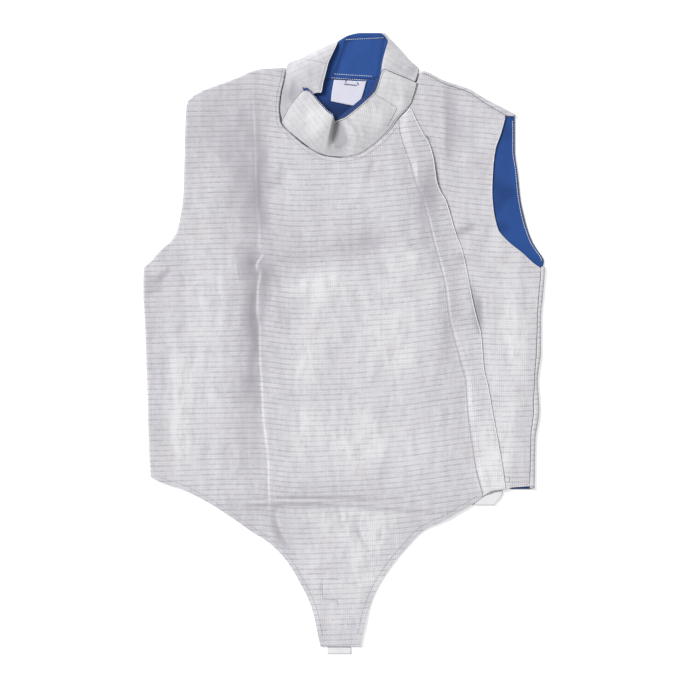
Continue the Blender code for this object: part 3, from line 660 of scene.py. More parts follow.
def cloth_object(name, points, shown, wall, faces_up, material, cloth, wear_and_shading):
    """Quads between neighbouring points, outer face outwards, and a wall that grows away from it."""
    number = np.full(shown.shape, -1)
    number[shown] = np.arange(shown.sum())
    quads = np.stack([number[:-1, :-1], number[:-1, 1:], number[1:, 1:], number[1:, :-1]], -1).reshape(-1, 4)
    quads = quads[(quads >= 0).all(1)]
    if not faces_up:
        quads = quads[:, ::-1]
    used = np.zeros(shown.sum(), bool)
    used[quads.ravel()] = True
    obj = new_object(name, points[shown][used], (np.cumsum(used) - 1)[quads], material)
    mesh = obj.data
    corner = np.empty(len(mesh.loops), int)
    mesh.loops.foreach_get("vertex_index", corner)
    flat = cloth[shown][used] * MM
    mesh.uv_layers.new(name="cloth").data.foreach_set("uv", flat[corner].ravel())
    # This map of rubbed places also carries painted shade and painted highlights, which the cloth groups turn
    # into colour.
    mesh.attributes.new("wear_and_shading", "FLOAT", "POINT").data.foreach_set("value", wear_and_shading[shown][used])
    thick = obj.modifiers.new("wall", "SOLIDIFY")
    thick.thickness = wall * MM
    thick.offset = -1.0
    thick.use_quality_normals = True
    return obj


def along_line(points, pitch, share):
    """Starts and ends of even stitches along a line: one each pitch, filling that share of it."""
    run = np.concatenate([[0], np.cumsum(np.linalg.norm(np.diff(points, axis=0), axis=1))])
    starts = np.arange(0, run[-1] - pitch * share, pitch)
    both = starts, starts + pitch * share
    return [np.stack([np.interp(s, run, points[:, k]) for k in range(3)], -1) for s in both]


def rings(way, sides, radius):
    """A circle of points square to each direction."""
    side = np.cross(way, (0, 0, 1.0))
    side /= np.maximum(np.linalg.norm(side, axis=1, keepdims=True), 1e-9)
    rise = np.cross(side, way)
    angle = np.arange(sides) * 2 * math.pi / sides
    return (side[:, None] * np.cos(angle)[:, None] + rise[:, None] * np.sin(angle)[:, None]) * radius


def halved(quads):
    """Each quad as two triangles."""
    return np.concatenate([quads[:, [0, 1, 2]], quads[:, [0, 2, 3]]])


def rods(starts, ends, radius, sides=5):
    """Short rods with pointed ends: rings of a circle a little inside each end, closed to the end points."""
    run = ends - starts
    way = run / np.maximum(np.linalg.norm(run, axis=1, keepdims=True), 1e-9)
    ring = rings(way, sides, radius)
    inside = run[:, None] * 0.18
    parts = [starts[:, None], starts[:, None] + inside + ring, ends[:, None] - inside + ring, ends[:, None]]
    k = np.arange(sides) + 1
    after = k % sides + 1
    caps = np.stack([0 * k, k, after], -1)
    tail = np.stack([0 * k + 2 * sides + 1, after + sides, k + sides], -1)
    faces = np.concatenate([caps, tail, halved(np.stack([k, k + sides, after + sides, after], -1))])
    offset = np.arange(len(starts))[:, None, None] * (2 * sides + 2)
    return np.concatenate(parts, 1).reshape(-1, 3), (faces[None] + offset).reshape(-1, 3)


def tube(points, radius, sides=8):
    """A round profile carried along a line, with pointed ends."""
    points = np.asarray(points, float)
    way = np.gradient(points, axis=0)
    way /= np.linalg.norm(way, axis=1, keepdims=True)
    body = (points[:, None] + rings(way, sides, radius)).reshape(-1, 3)
    count = len(points)
    tips = [points[0] - way[0] * radius * 0.7, points[-1] + way[-1] * radius * 0.7]
    i, k = np.meshgrid(np.arange(count - 1), np.arange(sides), indexing="ij")
    a, b = i * sides + k, i * sides + (k + 1) % sides
    quads = np.stack([a, a + sides, b + sides, b], -1).reshape(-1, 4)
    k = np.arange(sides)
    after, last = (k + 1) % sides, (count - 1) * sides
    start = np.stack([0 * k + count * sides, k, after], -1)
    stop = np.stack([0 * k + count * sides + 1, last + after, last + k], -1)
    return np.vstack([body, tips]), np.concatenate([halved(quads), start, stop])


def joined(name, parts, material):
    """One mesh of many small closed forms, each given as vertices in millimetres and triangles."""
    starts = np.cumsum([0] + [len(points) for points, _ in parts])
    faces = [triangles + start for (_, triangles), start in zip(parts, starts)]
    return new_object(name, np.vstack([points for points, _ in parts]), np.vstack(faces), material)


# Materials


def new_group(name, *inputs):
    """A node group from the cloth map, the map of rubbed places with its painted shade and highlights, and
    those inputs to a colour, a roughness and a height.
    """
    group = bpy.data.node_groups.new(name, "ShaderNodeTree")
    for label, kind, value in (("Cloth", VECTOR, (0, 0, 0)), ("Wear and shading", NUMBER, 0.0), *inputs):
        group.interface.new_socket(label, in_out="INPUT", socket_type=kind).default_value = value
    for label, kind in (("Color", COLOUR), ("Roughness", NUMBER), ("Height", NUMBER)):
        group.interface.new_socket(label, in_out="OUTPUT", socket_type=kind)
    given, put = group.nodes.new("NodeGroupInput"), group.nodes.new("NodeGroupOutput")
    parts = group.nodes.new("ShaderNodeSeparateXYZ")
    wire(group, (given.outputs["Cloth"], parts.inputs[0]))
    return group, given.outputs, put.inputs, parts.outputs["X"], parts.outputs["Y"]


def wire(tree, *pairs):
    """Links from each first socket to its second."""
    for a, b in pairs:
        tree.links.new(a, b)


def feed(tree, sockets, values):
    """Each socket takes its value: a plain one as its own, another socket by a link, and None leaves it."""
    for socket, value in zip(sockets, values):
        if isinstance(value, (int, float, tuple)):
            socket.default_value = value
        elif value is not None:
            tree.links.new(value, socket)


def sums(tree, operation, a, b=None, c=None):
    """A Math node on sockets or plain numbers. Returns its output."""
    node = tree.nodes.new("ShaderNodeMath")
    node.operation = operation
    feed(tree, node.inputs, (a, b, c))
    return node.outputs[0]


def ramp(tree, value, low, high):
    """0 below low, 1 above high, smooth between."""
    node = tree.nodes.new("ShaderNodeMapRange")
    node.interpolation_type = "SMOOTHSTEP"
    feed(tree, node.inputs, (value, low, high))
    return node.outputs["Result"]


def blended(tree, factor, a, b, kind="MIX"):
    """Colour a mixed with colour b by the factor."""
    node = tree.nodes.new("ShaderNodeMix")
    node.data_type = "RGBA"
    node.blend_type = kind
    feed(tree, (node.inputs[0], node.inputs[6], node.inputs[7]), (factor, a, b))
    return node.outputs[2]


def noise_on(tree, vector, scale, stretch=(1, 1, 1), detail=2.0, rough=0.5):
    """Noise over a map that is first stretched."""
    moved = tree.nodes.new("ShaderNodeMapping")
    feed(tree, (moved.inputs["Vector"], moved.inputs["Scale"]), (vector, stretch))
    node = tree.nodes.new("ShaderNodeTexNoise")
    sockets = [node.inputs[name] for name in ("Vector", "Scale", "Detail", "Roughness")]
    feed(tree, sockets, (moved.outputs["Vector"], scale, detail, rough))
    return node.outputs["Fac"]


def weave_group():
    """Conductive cloth: broken dark weft lines, a faint grid of yarns, mottling, and rubbed and duller places,
    which also carry painted highlights and painted shade.
    """
    group, given, put, u, v = new_group(
        "conductive weave",
        ("Yarn", COLOUR, (0.7, 0.7, 0.72, 1)),
        ("Line", COLOUR, (0.5, 0.5, 0.53, 1)),
        ("Lines", NUMBER, 1.0),
    )
    calc, mix, noise, step = (partial(made, group) for made in (sums, blended, noise_on, ramp))
    cloth, wear_and_shading, yarn, dark = (given[name] for name in ("Cloth", "Wear and shading", "Yarn", "Line"))
    sway = noise(cloth, 16.0, (1, 0.4, 1), 1.0)
    v_soft = calc("MULTIPLY_ADD", sway, 0.0022, v)
    phase = calc("FRACT", calc("DIVIDE", v_soft, WEFT_PITCH * MM))
    off = calc("ABSOLUTE", calc("SUBTRACT", phase, 0.5))
    line = calc("SUBTRACT", 1.0, step(off, 0.03, 0.16))
    breaks = step(noise(cloth, 240.0, (1, 3, 1), 1.0), 0.34, 0.60)
    fade = step(noise(cloth, 34.0, (1, 3.0, 1), 2.0), 0.22, 0.60)
    dashes = calc("MULTIPLY", calc("MULTIPLY_ADD", breaks, 0.6, 0.4), fade)
    line = calc("MULTIPLY", calc("MULTIPLY", line, dashes), given["Lines"])
    warp = calc("ABSOLUTE", calc("SINE", calc("MULTIPLY", u, math.pi / WARP_STEP)))
    weft = calc("ABSOLUTE", calc("SINE", calc("MULTIPLY", v_soft, math.pi / WEFT_STEP)))
    grid = calc("MULTIPLY", calc("POWER", warp, 0.6), calc("POWER", weft, 0.6))
    mottle = noise(cloth, 170.0, (1.0, 0.7, 1), 4.0, 0.7)
    streaks = noise(cloth, 40.0, (2.4, 0.6, 1), 4.0, 0.65)
    cloudy = calc("MULTIPLY_ADD", mottle, 0.45, calc("MULTIPLY", streaks, 0.55))
    colour = mix(step(cloudy, 0.34, 0.66), (0.88, 0.88, 0.88, 1), (1.11, 1.11, 1.11, 1))
    colour = mix(1.0, yarn, colour, "MULTIPLY")
    patchy = step(noise(cloth, 46.0, (1.8, 0.6, 1), 4.0, 0.7), 0.32, 0.62)
    # Above zero the map makes the cloth paler, for rubbed places and painted highlights; below zero it darkens
    # it towards the line colour, for duller places and painted shade.
    painted_light_and_wear = calc("MAXIMUM", wear_and_shading, 0.0)
    worn_and_painted_light = calc("MULTIPLY", painted_light_and_wear, calc("MULTIPLY_ADD", patchy, 0.8, 0.26))
    colour = mix(worn_and_painted_light, colour, (0.90, 0.89, 0.90, 1))
    dull_and_painted_shade = calc("MULTIPLY", calc("MINIMUM", wear_and_shading, 0.0), -0.9)
    colour = mix(dull_and_painted_shade, colour, dark)
    tint = step(noise(cloth, 24.0, detail=3.0), 0.54, 0.74)
    colour = mix(calc("MULTIPLY", tint, 0.35), colour, (0.70, 0.66, 0.65, 1))
    dim = calc("MULTIPLY", calc("SUBTRACT", 1.0, grid), 0.28)
    colour = mix(dim, colour, dark)
    quiet = calc("SUBTRACT", 1.0, calc("MULTIPLY", worn_and_painted_light, 0.6))
    colour = mix(calc("MULTIPLY", line, quiet), colour, dark)
    rough = calc("MULTIPLY_ADD", mottle, 0.18, 0.64)
    height = calc("SUBTRACT", calc("MULTIPLY_ADD", mottle, 0.5, grid), line)
    wire(group, (colour, put["Color"]), (rough, put["Roughness"]), (height, put["Height"]))
    return group


def lining_group():
    """Plain blue lining: fine twill, soft blotches, and painted shade that darkens it towards its deep colour
    along its seams, in its creases and in the hollow of the neck.
    """
    group, given, put, u, v = new_group(
        "lining weave",
        ("Yarn", COLOUR, (0.05, 0.12, 0.36, 1)),
        ("Deep", COLOUR, (0.03, 0.07, 0.24, 1)),
    )
    calc, mix, noise, step = (partial(made, group) for made in (sums, blended, noise_on, ramp))
    deep = given["Deep"]
    diagonal = calc("ADD", u, v)
    twill = calc("ABSOLUTE", calc("SINE", calc("MULTIPLY", diagonal, math.pi / TWILL_STEP)))
    blotch = step(noise(given["Cloth"], 34.0, (1, 0.7, 1), 4.0, 0.6), 0.32, 0.68)
    colour = mix(calc("MULTIPLY", blotch, 0.22), given["Yarn"], deep)
    colour = mix(calc("MULTIPLY", twill, 0.12), colour, deep)
    # The map's values darken the blue towards its deep colour: painted shade.
    colour = mix(given["Wear and shading"], colour, deep)
    rough = calc("MULTIPLY_ADD", blotch, 0.12, 0.58)
    wire(group, (colour, put["Color"]), (rough, put["Roughness"]), (twill, put["Height"]))
    return group


def new_material(name, bump, distance):
    """A Principled surface with a bump on its normal."""
    made = bpy.data.materials.new(name)
    made.use_nodes = True
    tree = made.node_tree
    shader = tree.nodes["Principled BSDF"].inputs
    relief = tree.nodes.new("ShaderNodeBump")
    relief.inputs["Strength"].default_value = bump
    relief.inputs["Distance"].default_value = distance
    wire(tree, (relief.outputs["Normal"], shader["Normal"]))
    return made, tree, shader, relief.inputs["Height"]


def cloth_material(name, group, metallic, bump, gloss, **values):
    """A Principled surface with one of the cloth groups on the piece's own cloth map."""
    made, tree, shader, relief = new_material(name, bump, 0.0003)
    place = tree.nodes.new("ShaderNodeUVMap")
    place.uv_map = "cloth"
    wear_and_shading = tree.nodes.new("ShaderNodeAttribute")
    wear_and_shading.attribute_name = "wear_and_shading"
    weave = tree.nodes.new("ShaderNodeGroup")
    weave.node_tree = group
    for label, value in values.items():
        weave.inputs[label].default_value = value
    wire(
        tree,
        (place.outputs["UV"], weave.inputs["Cloth"]),
        (wear_and_shading.outputs["Fac"], weave.inputs["Wear and shading"]),
        (weave.outputs["Color"], shader["Base Color"]),
        (weave.outputs["Roughness"], shader["Roughness"]),
        (weave.outputs["Height"], relief),
    )
    shader["Metallic"].default_value = metallic
    shader["Specular IOR Level"].default_value = gloss
    return made


def thread_material(name, pale, dark):
    """Spun thread: pale and dark flecks in Object coordinates, finer than a stitch."""
    made, tree, shader, relief = new_material(name, 0.3, 0.0002)
    place = tree.nodes.new("ShaderNodeTexCoord")
    fleck = noise_on(tree, place.outputs["Object"], 900.0)
    colour = blended(tree, ramp(tree, fleck, 0.35, 0.65), (*dark, 1), (*pale, 1))
    wire(tree, (colour, shader["Base Color"]), (fleck, relief))
    shader["Roughness"].default_value = 0.7
    return made


WEAVE = weave_group()
BLUE_WEAVE = lining_group()
LAME = cloth_material(
    "lame cloth", WEAVE, 0.14, 0.45, 0.25, Yarn=(0.70, 0.685, 0.72, 1), Line=(0.40, 0.385, 0.42, 1), Lines=0.85
)
COLLAR_LAME = cloth_material(
    "collar lame", WEAVE, 0.12, 0.45, 0.25, Yarn=(0.72, 0.71, 0.73, 1), Line=(0.45, 0.44, 0.48, 1), Lines=0.45
)
LINING_BLUE = cloth_material(
    "blue lining", BLUE_WEAVE, 0.0, 0.3, 0.25, Yarn=(0.028, 0.102, 0.37, 1), Deep=(0.010, 0.032, 0.13, 1)
)
LABEL_WHITE = cloth_material(
    "label tape", BLUE_WEAVE, 0.0, 0.25, 0.5, Yarn=(0.80, 0.79, 0.90, 1), Deep=(0.60, 0.60, 0.74, 1)
)
TAB_WHITE = cloth_material(
    "tab tape", BLUE_WEAVE, 0.0, 0.4, 0.5, Yarn=(0.90, 0.89, 0.91, 1), Deep=(0.66, 0.65, 0.68, 1)
)
WHITE_THREAD = thread_material("white thread", (0.96, 0.96, 0.97), (0.76, 0.76, 0.80))
GREY_THREAD = thread_material("grey thread", (0.70, 0.69, 0.73), (0.46, 0.45, 0.49))
DARK_THREAD = thread_material("dark thread", (0.10, 0.12, 0.20), (0.04, 0.05, 0.10))
BINDING = thread_material("pale edge roll", (0.80, 0.79, 0.82), (0.58, 0.57, 0.61))
SEAM_PALE = thread_material("pale seam", (0.78, 0.77, 0.80), (0.62, 0.61, 0.65))
SEAM_GREY = thread_material("shaded seam", (0.34, 0.33, 0.37), (0.20, 0.20, 0.24))
SEAM_SOFT = thread_material("soft seam", (0.50, 0.49, 0.53), (0.36, 0.35, 0.39))
SOIL_BROWN = thread_material("soiled thread", (0.44, 0.38, 0.36), (0.30, 0.26, 0.26))
BLUE_ROLL = thread_material("blue edge roll", (0.05, 0.12, 0.34), (0.015, 0.04, 0.14))

# Cloth pieces


def spots_of_wear_and_shading(x, y):
    """How rubbed the cloth is, painted shade and highlights included: the sum of the spots' bells, each broken
    up by soft noise.
    """
    worn_and_painted_light = np.zeros(x.shape)
    for k in range(len(WEAR_AND_SHADING_SPOTS["x"])):
        c = {name: column[k] for name, column in WEAR_AND_SHADING_SPOTS.items()}
        worn_and_painted_light += c["strength"] * np.exp(-(((x - c["x"]) / c["across"]) ** 2) - ((y - c["y"]) / c["along"]) ** 2)
    return np.clip(0.15 + worn_and_painted_light * (1 + 0.4 * soft_noise(x / 9, y / 26, 1.0, 77)), -1, 1)


# How far the weft lines have shifted up at a place, on the front and on the side panel.
front_lines = curve(table(
    "x rise", (-250, -2), (-180, 0), (-112, 1.5), (-60, -3), (0, -1), (60, 3), (110, 9), (175, 18)
))
side_lines = curve(table("x rise", (60, 4), (110, 0), (150, -6), (200, -10), (250, -9)))


def wear_and_crease_shading(x, y, creases=CREASES):
    """The rubbed places, brighter on ridges, on the long fold and on its edge, and duller in troughs: partly
    the cloth's own rubbing, partly painted highlights on the crests and painted shade in the troughs.
    """
    fold = 0.4 * bell((x - fold_line(y)) / 1.4) * ease((150 - y) / 40)
    return np.clip(spots_of_wear_and_shading(x, y) + 0.6 * crease_rise(x, y, creases) + fold * (creases is CREASES), -1, 1)


def on_the_cut(x, y, lines):
    """The place on the cut cloth: across as it lies, up less the rise of the weft lines there."""
    return np.stack([x, y - lines(x)], -1)


def carry(obj, slot, *nodes):
    """A piece rides on the one body, and a cloth stands for its solid, which is hidden. Its slot is not used.
    """
    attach(obj, "root")
    if nodes:
        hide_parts(*nodes)
    return obj


def sew(name, lines, pitch, share, radius, material, slot="lame"):
    """Stitches of one colour on one carrier, in one mesh: one each pitch, which fills that share of it."""
    parts = [rods(*along_line(line, pitch, share), radius) for line in lines]
    return carry(joined(name, parts, material), slot)


def roll(name, lines, radius, material, slot="lame"):
    """Rolled or bound edges."""
    return carry(joined(name, [tube(line, radius) for line in lines], material), slot)


def on_front(xs, ys, up=0.25, height=front_height):
    """A line on the front: heights taken from the cloth, a little above it."""
    xs, ys = np.broadcast_arrays(np.asarray(xs, float), np.asarray(ys, float))
    return np.stack([xs, ys, height(xs, ys) + up], -1)


def beside(xs, ys, offset):
    """A line moved sideways by offset, to the left of the way that it runs."""
    way_x, way_y = np.gradient(xs), np.gradient(ys)
    length = np.hypot(way_x, way_y)
    return xs - way_y / length * offset, ys + way_x / length * offset


def through(*corners):
    """A line with straight stretches between its corners, in small steps."""
    corners = np.array(corners, float)
    steps = np.linspace(0, len(corners) - 1, 40 * (len(corners) - 1) + 1)
    return [np.interp(steps, np.arange(len(corners)), corners[:, k]) for k in range(2)]


def on_grid(node, xs, ys, up):
    """A line on a piece that has no height map: each place takes the height of the nearest grid points."""
    points = GRIDS[node].reshape(-1, 3)
    far = np.hypot(points[:, 0] - np.asarray(xs)[:, None], points[:, 1] - np.asarray(ys)[:, None])
    closest = np.argpartition(far, 4, axis=1)[:, :4]
    share = 1 / (np.take_along_axis(far, closest, 1) + 0.05)
    height = (points[closest, 2] * share).sum(1) / share.sum(1)
    return np.stack([xs, ys, height + up], -1)


GRIDS = {}


def make_cloth(node, points, shown, wall, faces_up, material, slot, cloth, wear_and_shading):
    obj = cloth_object(node + "_cloth", points, shown, wall, faces_up, material, cloth, wear_and_shading)
    carry(obj, slot, node)
    GRIDS[node] = points


def whole(points):
    """Every point of a grid is shown."""
    return np.ones(points.shape[:2], bool)


def make_panels():
    """The large lame panels."""
    for node, (points, shown), lines, up in (
        ("front_main", front_main_grid(), front_lines, True),
        ("front_side", front_side_grid(), side_lines, True),
        ("closure_flap", closure_flap_grid(), front_lines, True),
        ("back", back_grid(), front_lines, False),
    ):
        x, y = points[..., 0], points[..., 1]
        make_cloth(node, points, shown, CLOTH, up, LAME, "lame", on_the_cut(x, y, lines), wear_and_crease_shading(x, y))


def make_collar():
    """The collar's stretches in lame."""
    front = stretch_grid(LOBE_AND_TAB, 150, np.linspace(0, 1, 44), 0.5, 11, False)
    left = stretch_grid(COLLAR_LEFT, 90, spread(UP_THE_COLLAR, 40), 0.4, 21, True)
    right = stretch_grid(COLLAR_RIGHT, 70, spread(UP_THE_COLLAR, 34), 0.3, 31, True)
    back = collar_back_grid(0.0, -70.5, 93.5, GAP + COARSE, lambda x: 0 * x)
    # The last number of each stretch makes the whole stretch paler or darker: painted light and shade that even
    # out how each one faces the key light.
    for node, points, up, lean, painted_light_and_wear in (
        ("collar_front", front, True, 0, 0.1),
        ("collar_left", left, False, 24, -0.3),
        ("collar_right", right, True, -32, -0.15),
        ("collar_back", back, False, 0, 0),
    ):
        x, y = points[..., 0], points[..., 1]
        turned = np.radians(-8 - 44 * ease((4 - x) / 24)) if node == "collar_front" else np.radians(lean)
        cut = np.stack([x * np.cos(turned) + y * np.sin(turned), y * np.cos(turned) - x * np.sin(turned)], -1)
        wear_and_shading = wear_and_crease_shading(x, y, COLLAR_CREASES) + painted_light_and_wear
        make_cloth(node, points, whole(points), CLOTH, up, COLLAR_LAME, "lame", cut, wear_and_shading)


def make_linings():
    """Blue linings, the bare white label in the neck, and the white tapes at the hems."""
    under, over = CLOTH + GAP, CLOTH + GAP + LINING + GAP
    collar = collar_back_grid(under, -62, 86, GAP + 0.2, lining_inset)
    collar[..., 2] += 0.3 * (1 + rumple(collar[..., 0] * 2, collar[..., 1] * 2, 51))
    x, y = collar[..., 0], collar[..., 1]
    # The collar's top band and both its ends, which are turned over a little higher than its middle.
    turned = ease((y - collar_top(x) + 6.2) / 1.5)
    turned = np.maximum(turned, ease((-2.5 - 0.30 * (360 - y) - x) / 1.5))
    turned = np.maximum(turned, ease((x - 47.5 - 0.12 * (y - 340)) / 1.5))
    collar[..., 2] += 0.45 * turned
    # Painted shade on the collar lining: soft dark bands inside both end seams and along a line below the top
    # edge, and a little more on the turned parts.
    left_seam, right_seam = x - 2.6 + 0.37 * (378 - y), x - 49 + 0.18 * (377 - y)
    collar_shade = 0.5 * bell(left_seam / np.where(left_seam > 0, 4, 1.6)) + 0.45 * bell(right_seam / 1.8)
    collar_shade += 0.3 * bell((y - collar_top(x) + 7) / 1.6) + 0.14 * turned
    neck = strip_grid(NECK_LINING, under, 60, 50, 0.1)
    # Painted shade on the neck lining, darker towards the bottom.
    neck_shade = 0.25 + 0.75 * ease((316 - neck[..., 1]) / 26)
    label = strip_grid(NECK_LABEL, over, 34, 28, 0.15)
    up = (label[..., 1] - label[0, 0, 1]) / np.ptp(label[..., 1])
    label[..., 1] -= (0.2 - 0.15 * up) * (label[..., 0] + 15)
    arm = strip_grid(ARMHOLE_LINING, under, 30, 110, 0.25)
    x, y = arm[..., 0], arm[..., 1]
    # Painted shade on the armhole lining, in soft patches.
    arm_shade = 0.18 + 0.4 * np.maximum(0, soft_noise(x - 0.7 * y, y + 0.6 * x, 24, 91))
    edge = section_points(EDGE_LINING, *across_up(60, 14))
    # Each piece's last value darkens it towards its deep colour: on the blue linings it is painted shade, and
    # the white label and tapes take none.
    for node, points, up, material, slot, shade in (
        ("collar_lining", collar, False, LINING_BLUE, "lining", np.clip(collar_shade, 0, 1)),
        ("collar_edge_lining", edge, True, LINING_BLUE, "lining", 0.8),
        ("neck_lining", neck, False, LINING_BLUE, "lining", neck_shade),
        ("armhole_lining", arm, False, LINING_BLUE, "lining", arm_shade),
        ("hem_lining", strip_grid(HEM_LINING, under, 24, 12), False, LINING_BLUE, "lining", 0.4),
        ("neck_label", label, False, LABEL_WHITE, "label", 0.0),
        ("hem_tab", strip_grid(HEM_TAB, under, 28, 24, 0.1), False, TAB_WHITE, "label", 0.0),
        ("groin_tab", strip_grid(GROIN_TAB, 0.0, 24, 26, 0.1), False, TAB_WHITE, "label", 0.0),
    ):
        shown = whole(points)
        wear_and_shading = shade + np.zeros(shown.shape)
        make_cloth(node, points, shown, LINING, up, material, slot, points[..., :2], wear_and_shading)


def up_along(edge, first, last, count, aside, up, height=front_height):
    """A line on the front from one height of the garment to another, that far to the right of an edge."""
    y = np.linspace(first, last, count)
    return on_front(edge(y) + aside, y, up, height)


def level(xs, ys, height):
    """A line at one height."""
    return np.stack(np.broadcast_arrays(xs, ys, height), -1)


def rim(rows, first, last, count, shift, up=1.0):
    """A line along a stretch of the collar, at its free edge or lower down, moved by shift."""
    return section_points(rows, np.linspace(first, last, count), up) + shift


def rib(rows, s, first, last, count, shift):
    """A line up a stretch of the collar at one place along it, moved by shift."""
    return section_points(rows, s, np.linspace(first, last, count)) + shift


def sew_front():
    """Topstitching beside the neckline, along the hem and down the flap, and the seam where the flap begins."""
    side_y = np.linspace(344, 276, 60)
    neck_x = np.linspace(-78, 62, 200)
    xs, ys = np.concatenate([neck_side(side_y), neck_x]), np.concatenate([side_y, neckline(neck_x)])
    topstitch = [on_front(*beside(xs, ys, -4.6))]
    for first, last in ((-240, -33), (22.5, 171)):
        inner = HEM["x"][(HEM["x"] > first) & (HEM["x"] < last)]
        xs = spread(np.concatenate([[first], inner, [last]]), 400)
        topstitch.append(on_front(*beside(xs, hem(xs), 6.4)))
    welt = up_along(stitch_line, -150, 236, 300, 0.1, 0.15)
    shade = up_along(stitch_line, -150, 236, 300, -0.7, 0.05)
    mark = up_along(stitch_line, -187, -158, 30, 0.2, 0.3)
    flap = up_along(stitch_line, -180, 276, 300, 7.0, 0.1, flap_height)
    # A white tube over the flap's free edge: painted light laid over the shadow line of the edge.
    edge = up_along(flap_edge, -183, 292, 300, -0.1, -0.55, flap_height) + (0.6, 0, 0)
    marks = [on_front(*through((x0, y0), (x1, y1)), 0.15) for x0, y0, x1, y1 in (
        (-44, -287.4, -22.5, -287.6), (-37, -293.6, -6, -294.4), (6, -341, 9, -341.6),
    )]
    snags = [on_front(*through((x0, y0), (x1, y1)), 0.1) for x0, y0, x1, y1 in (
        (-27.6, -300.6, -26.8, -317.4), (-26, -318, -9.6, -320.4), (-9, -321, -7.5, -327),
    )]
    loop = np.linspace(0, 1, 14)
    knot = on_front(101.5 + 4.5 * loop, 258 - 1.5 * loop + 2.0 * np.sin(loop * 5), 0.6, flap_height)
    return {
        "front_main_cloth": [
            sew("front_topstitch", topstitch, 3.2, 0.74, 0.36, GREY_THREAD),
            roll("flap_seam", [welt], 0.3, SEAM_PALE),
            roll("flap_seam_shade", [shade], 0.28, SEAM_SOFT),
            roll("flap_seam_end", [mark], 0.3, SEAM_SOFT),
            sew("groin_marks", marks, 2.6, 0.7, 0.28, SOIL_BROWN),
            roll("groin_snags", snags, 0.3, SEAM_SOFT),
        ],
        "closure_flap_cloth": [
            sew("flap_topstitch", [flap], 3.2, 0.74, 0.25, SEAM_PALE),
            roll("flap_edge_light_roll", [edge], 0.78, WHITE_THREAD),
            roll("flap_thread_end", [knot], 0.35, SEAM_GREY),
        ],
    }


def sew_side():
    """The side panel: stitches beside its seams and hem, a small square tack, and the armhole's rolled edge."""
    x = np.linspace(98, 205, 120)
    shoulder_line = on_front(x, side_top(x) - 2.6)
    x = np.linspace(204, 231, 30)
    low = [on_front(x, hem(x) + 5.0), on_front(x, hem(x) + 9.5)]
    seam = up_along(side_right, -174, 90, 200, -0.5, 0.1)
    arm = up_along(side_right, 94, 280.6, 200, -0.3, -0.45)
    corners = (199.4, -166.3), (206.3, -166.3), (206.3, -172.5), (199.4, -172.5), (199.4, -166.3)
    tack = on_front(*through(*corners))
    return {
        "front_side_cloth": [
            sew("shoulder_topstitch", [shoulder_line], 3.2, 0.74, 0.3, GREY_THREAD),
            sew("hem_topstitch", low, 2.6, 0.55, 0.34, SEAM_SOFT),
            roll("side_seam_line", [seam], 0.28, SEAM_GREY),
            sew("hem_tack", [tack], 1.6, 0.8, 0.45, SEAM_SOFT),
            roll("armhole_edge_roll", [arm], 0.75, BINDING),
        ],
    }


def sew_collar():
    """Rolled and bound edges of the collar, the tab's box of stitches, and the seam of its left stretch."""
    box = on_grid("collar_front", *through((36.3, 311.9), (66.3, 294.4), (53.8, 270.6)), 0.25)
    seam = on_grid("collar_left", *through((-50, 354.6), (-35, 352.4), (-21, 348.6)), 0.0)
    curl = np.linspace(0, 1, 12)
    tangle = [
        level(-49 + a * curl, 316 + b * curl + 1.5 * np.sin(4 * curl + c), 10.6 + 0.6 * np.sin(3 * curl))
        for a, b, c in ((6, 0.5, 0.0), (3, 3, 1.0), (9, -2, 2.0), (-2, 2, 3.0))
    ]
    lobe = LOBE_AND_TAB
    # A soft grey tube just left of the lobe's side: painted shadow in the crevice between the lobe's fold and
    # the left stretch.
    lobe_shadow_line = rib(lobe, 0.0, 0.06, 0.97, 50, (-0.7, 0.3, -1.1))
    lobe_edge = rim(lobe, 0.03, 0.335, 60, (0, 0, -0.4))
    lobe_stitch = rim(lobe, 0.03, 0.335, 60, (0.5, 0.3, 0.45))
    free_edge = rim(lobe, 0.42, 0.86, 80, (-0.2, 0.2, 0.35))
    free_shade = rim(lobe, 0.42, 0.86, 80, (-1.3, 1.3, 0.05))
    tab_top = rim(lobe, 0.845, 0.995, 50, (0, 0.5, -1.3))
    tab_end = rib(lobe, 1.0, 1, 0.1, 40, (0.6, 0, -1.3))
    end_roll = rib(lobe, 0.997, 1, 0.1, 40, (0, 0, -0.3))
    neck_roll = rim(lobe, 0.5, 0.97, 90, (0.45, -0.7, -0.5), 0.0)
    left_roll = rim(COLLAR_LEFT, 0.12, 0.97, 120, (0.2, 0, 0.1))
    left_stitch = rim(COLLAR_LEFT, 0.12, 0.97, 120, (0, 0, 0.3), 0.93)
    right_roll = rim(COLLAR_RIGHT, 0.05, 0.97, 90, (-0.2, 0, -0.35))
    return {
        "collar_front_cloth": [
            roll("lobe_fold_shadow", [lobe_shadow_line], 0.6, SEAM_SOFT),
            roll("tab_free_edge", [free_edge], 0.5, WHITE_THREAD, "label"),
            roll("tab_free_shade", [free_shade], 0.45, DARK_THREAD, "lining"),
            roll("neck_seam_roll", [neck_roll], 0.75, GREY_THREAD),
            roll("lobe_blue_edge", [lobe_edge] + tangle, 0.8, BLUE_ROLL, "lining"),
            sew("lobe_stitch", [lobe_stitch], 2.6, 0.7, 0.4, WHITE_THREAD, "label"),
            roll("tab_under_edge", [tab_top], 0.55, DARK_THREAD, "lining"),
            roll("tab_end_seam", [tab_end], 0.6, GREY_THREAD),
            roll("tab_end_roll", [end_roll], 0.5, BINDING),
            sew("tab_box_stitch", [box], 2.8, 0.75, 0.38, SEAM_SOFT),
        ],
        "collar_left_cloth": [
            roll("collar_left_roll", [left_roll], 0.55, WHITE_THREAD, "label"),
            sew("collar_left_stitch", [left_stitch], 2.8, 0.72, 0.36, WHITE_THREAD, "label"),
            roll("collar_left_seam", [seam], 0.3, SEAM_SOFT),
        ],
        "collar_right_cloth": [roll("collar_right_roll", [right_roll], 0.45, GREY_THREAD)],
    }


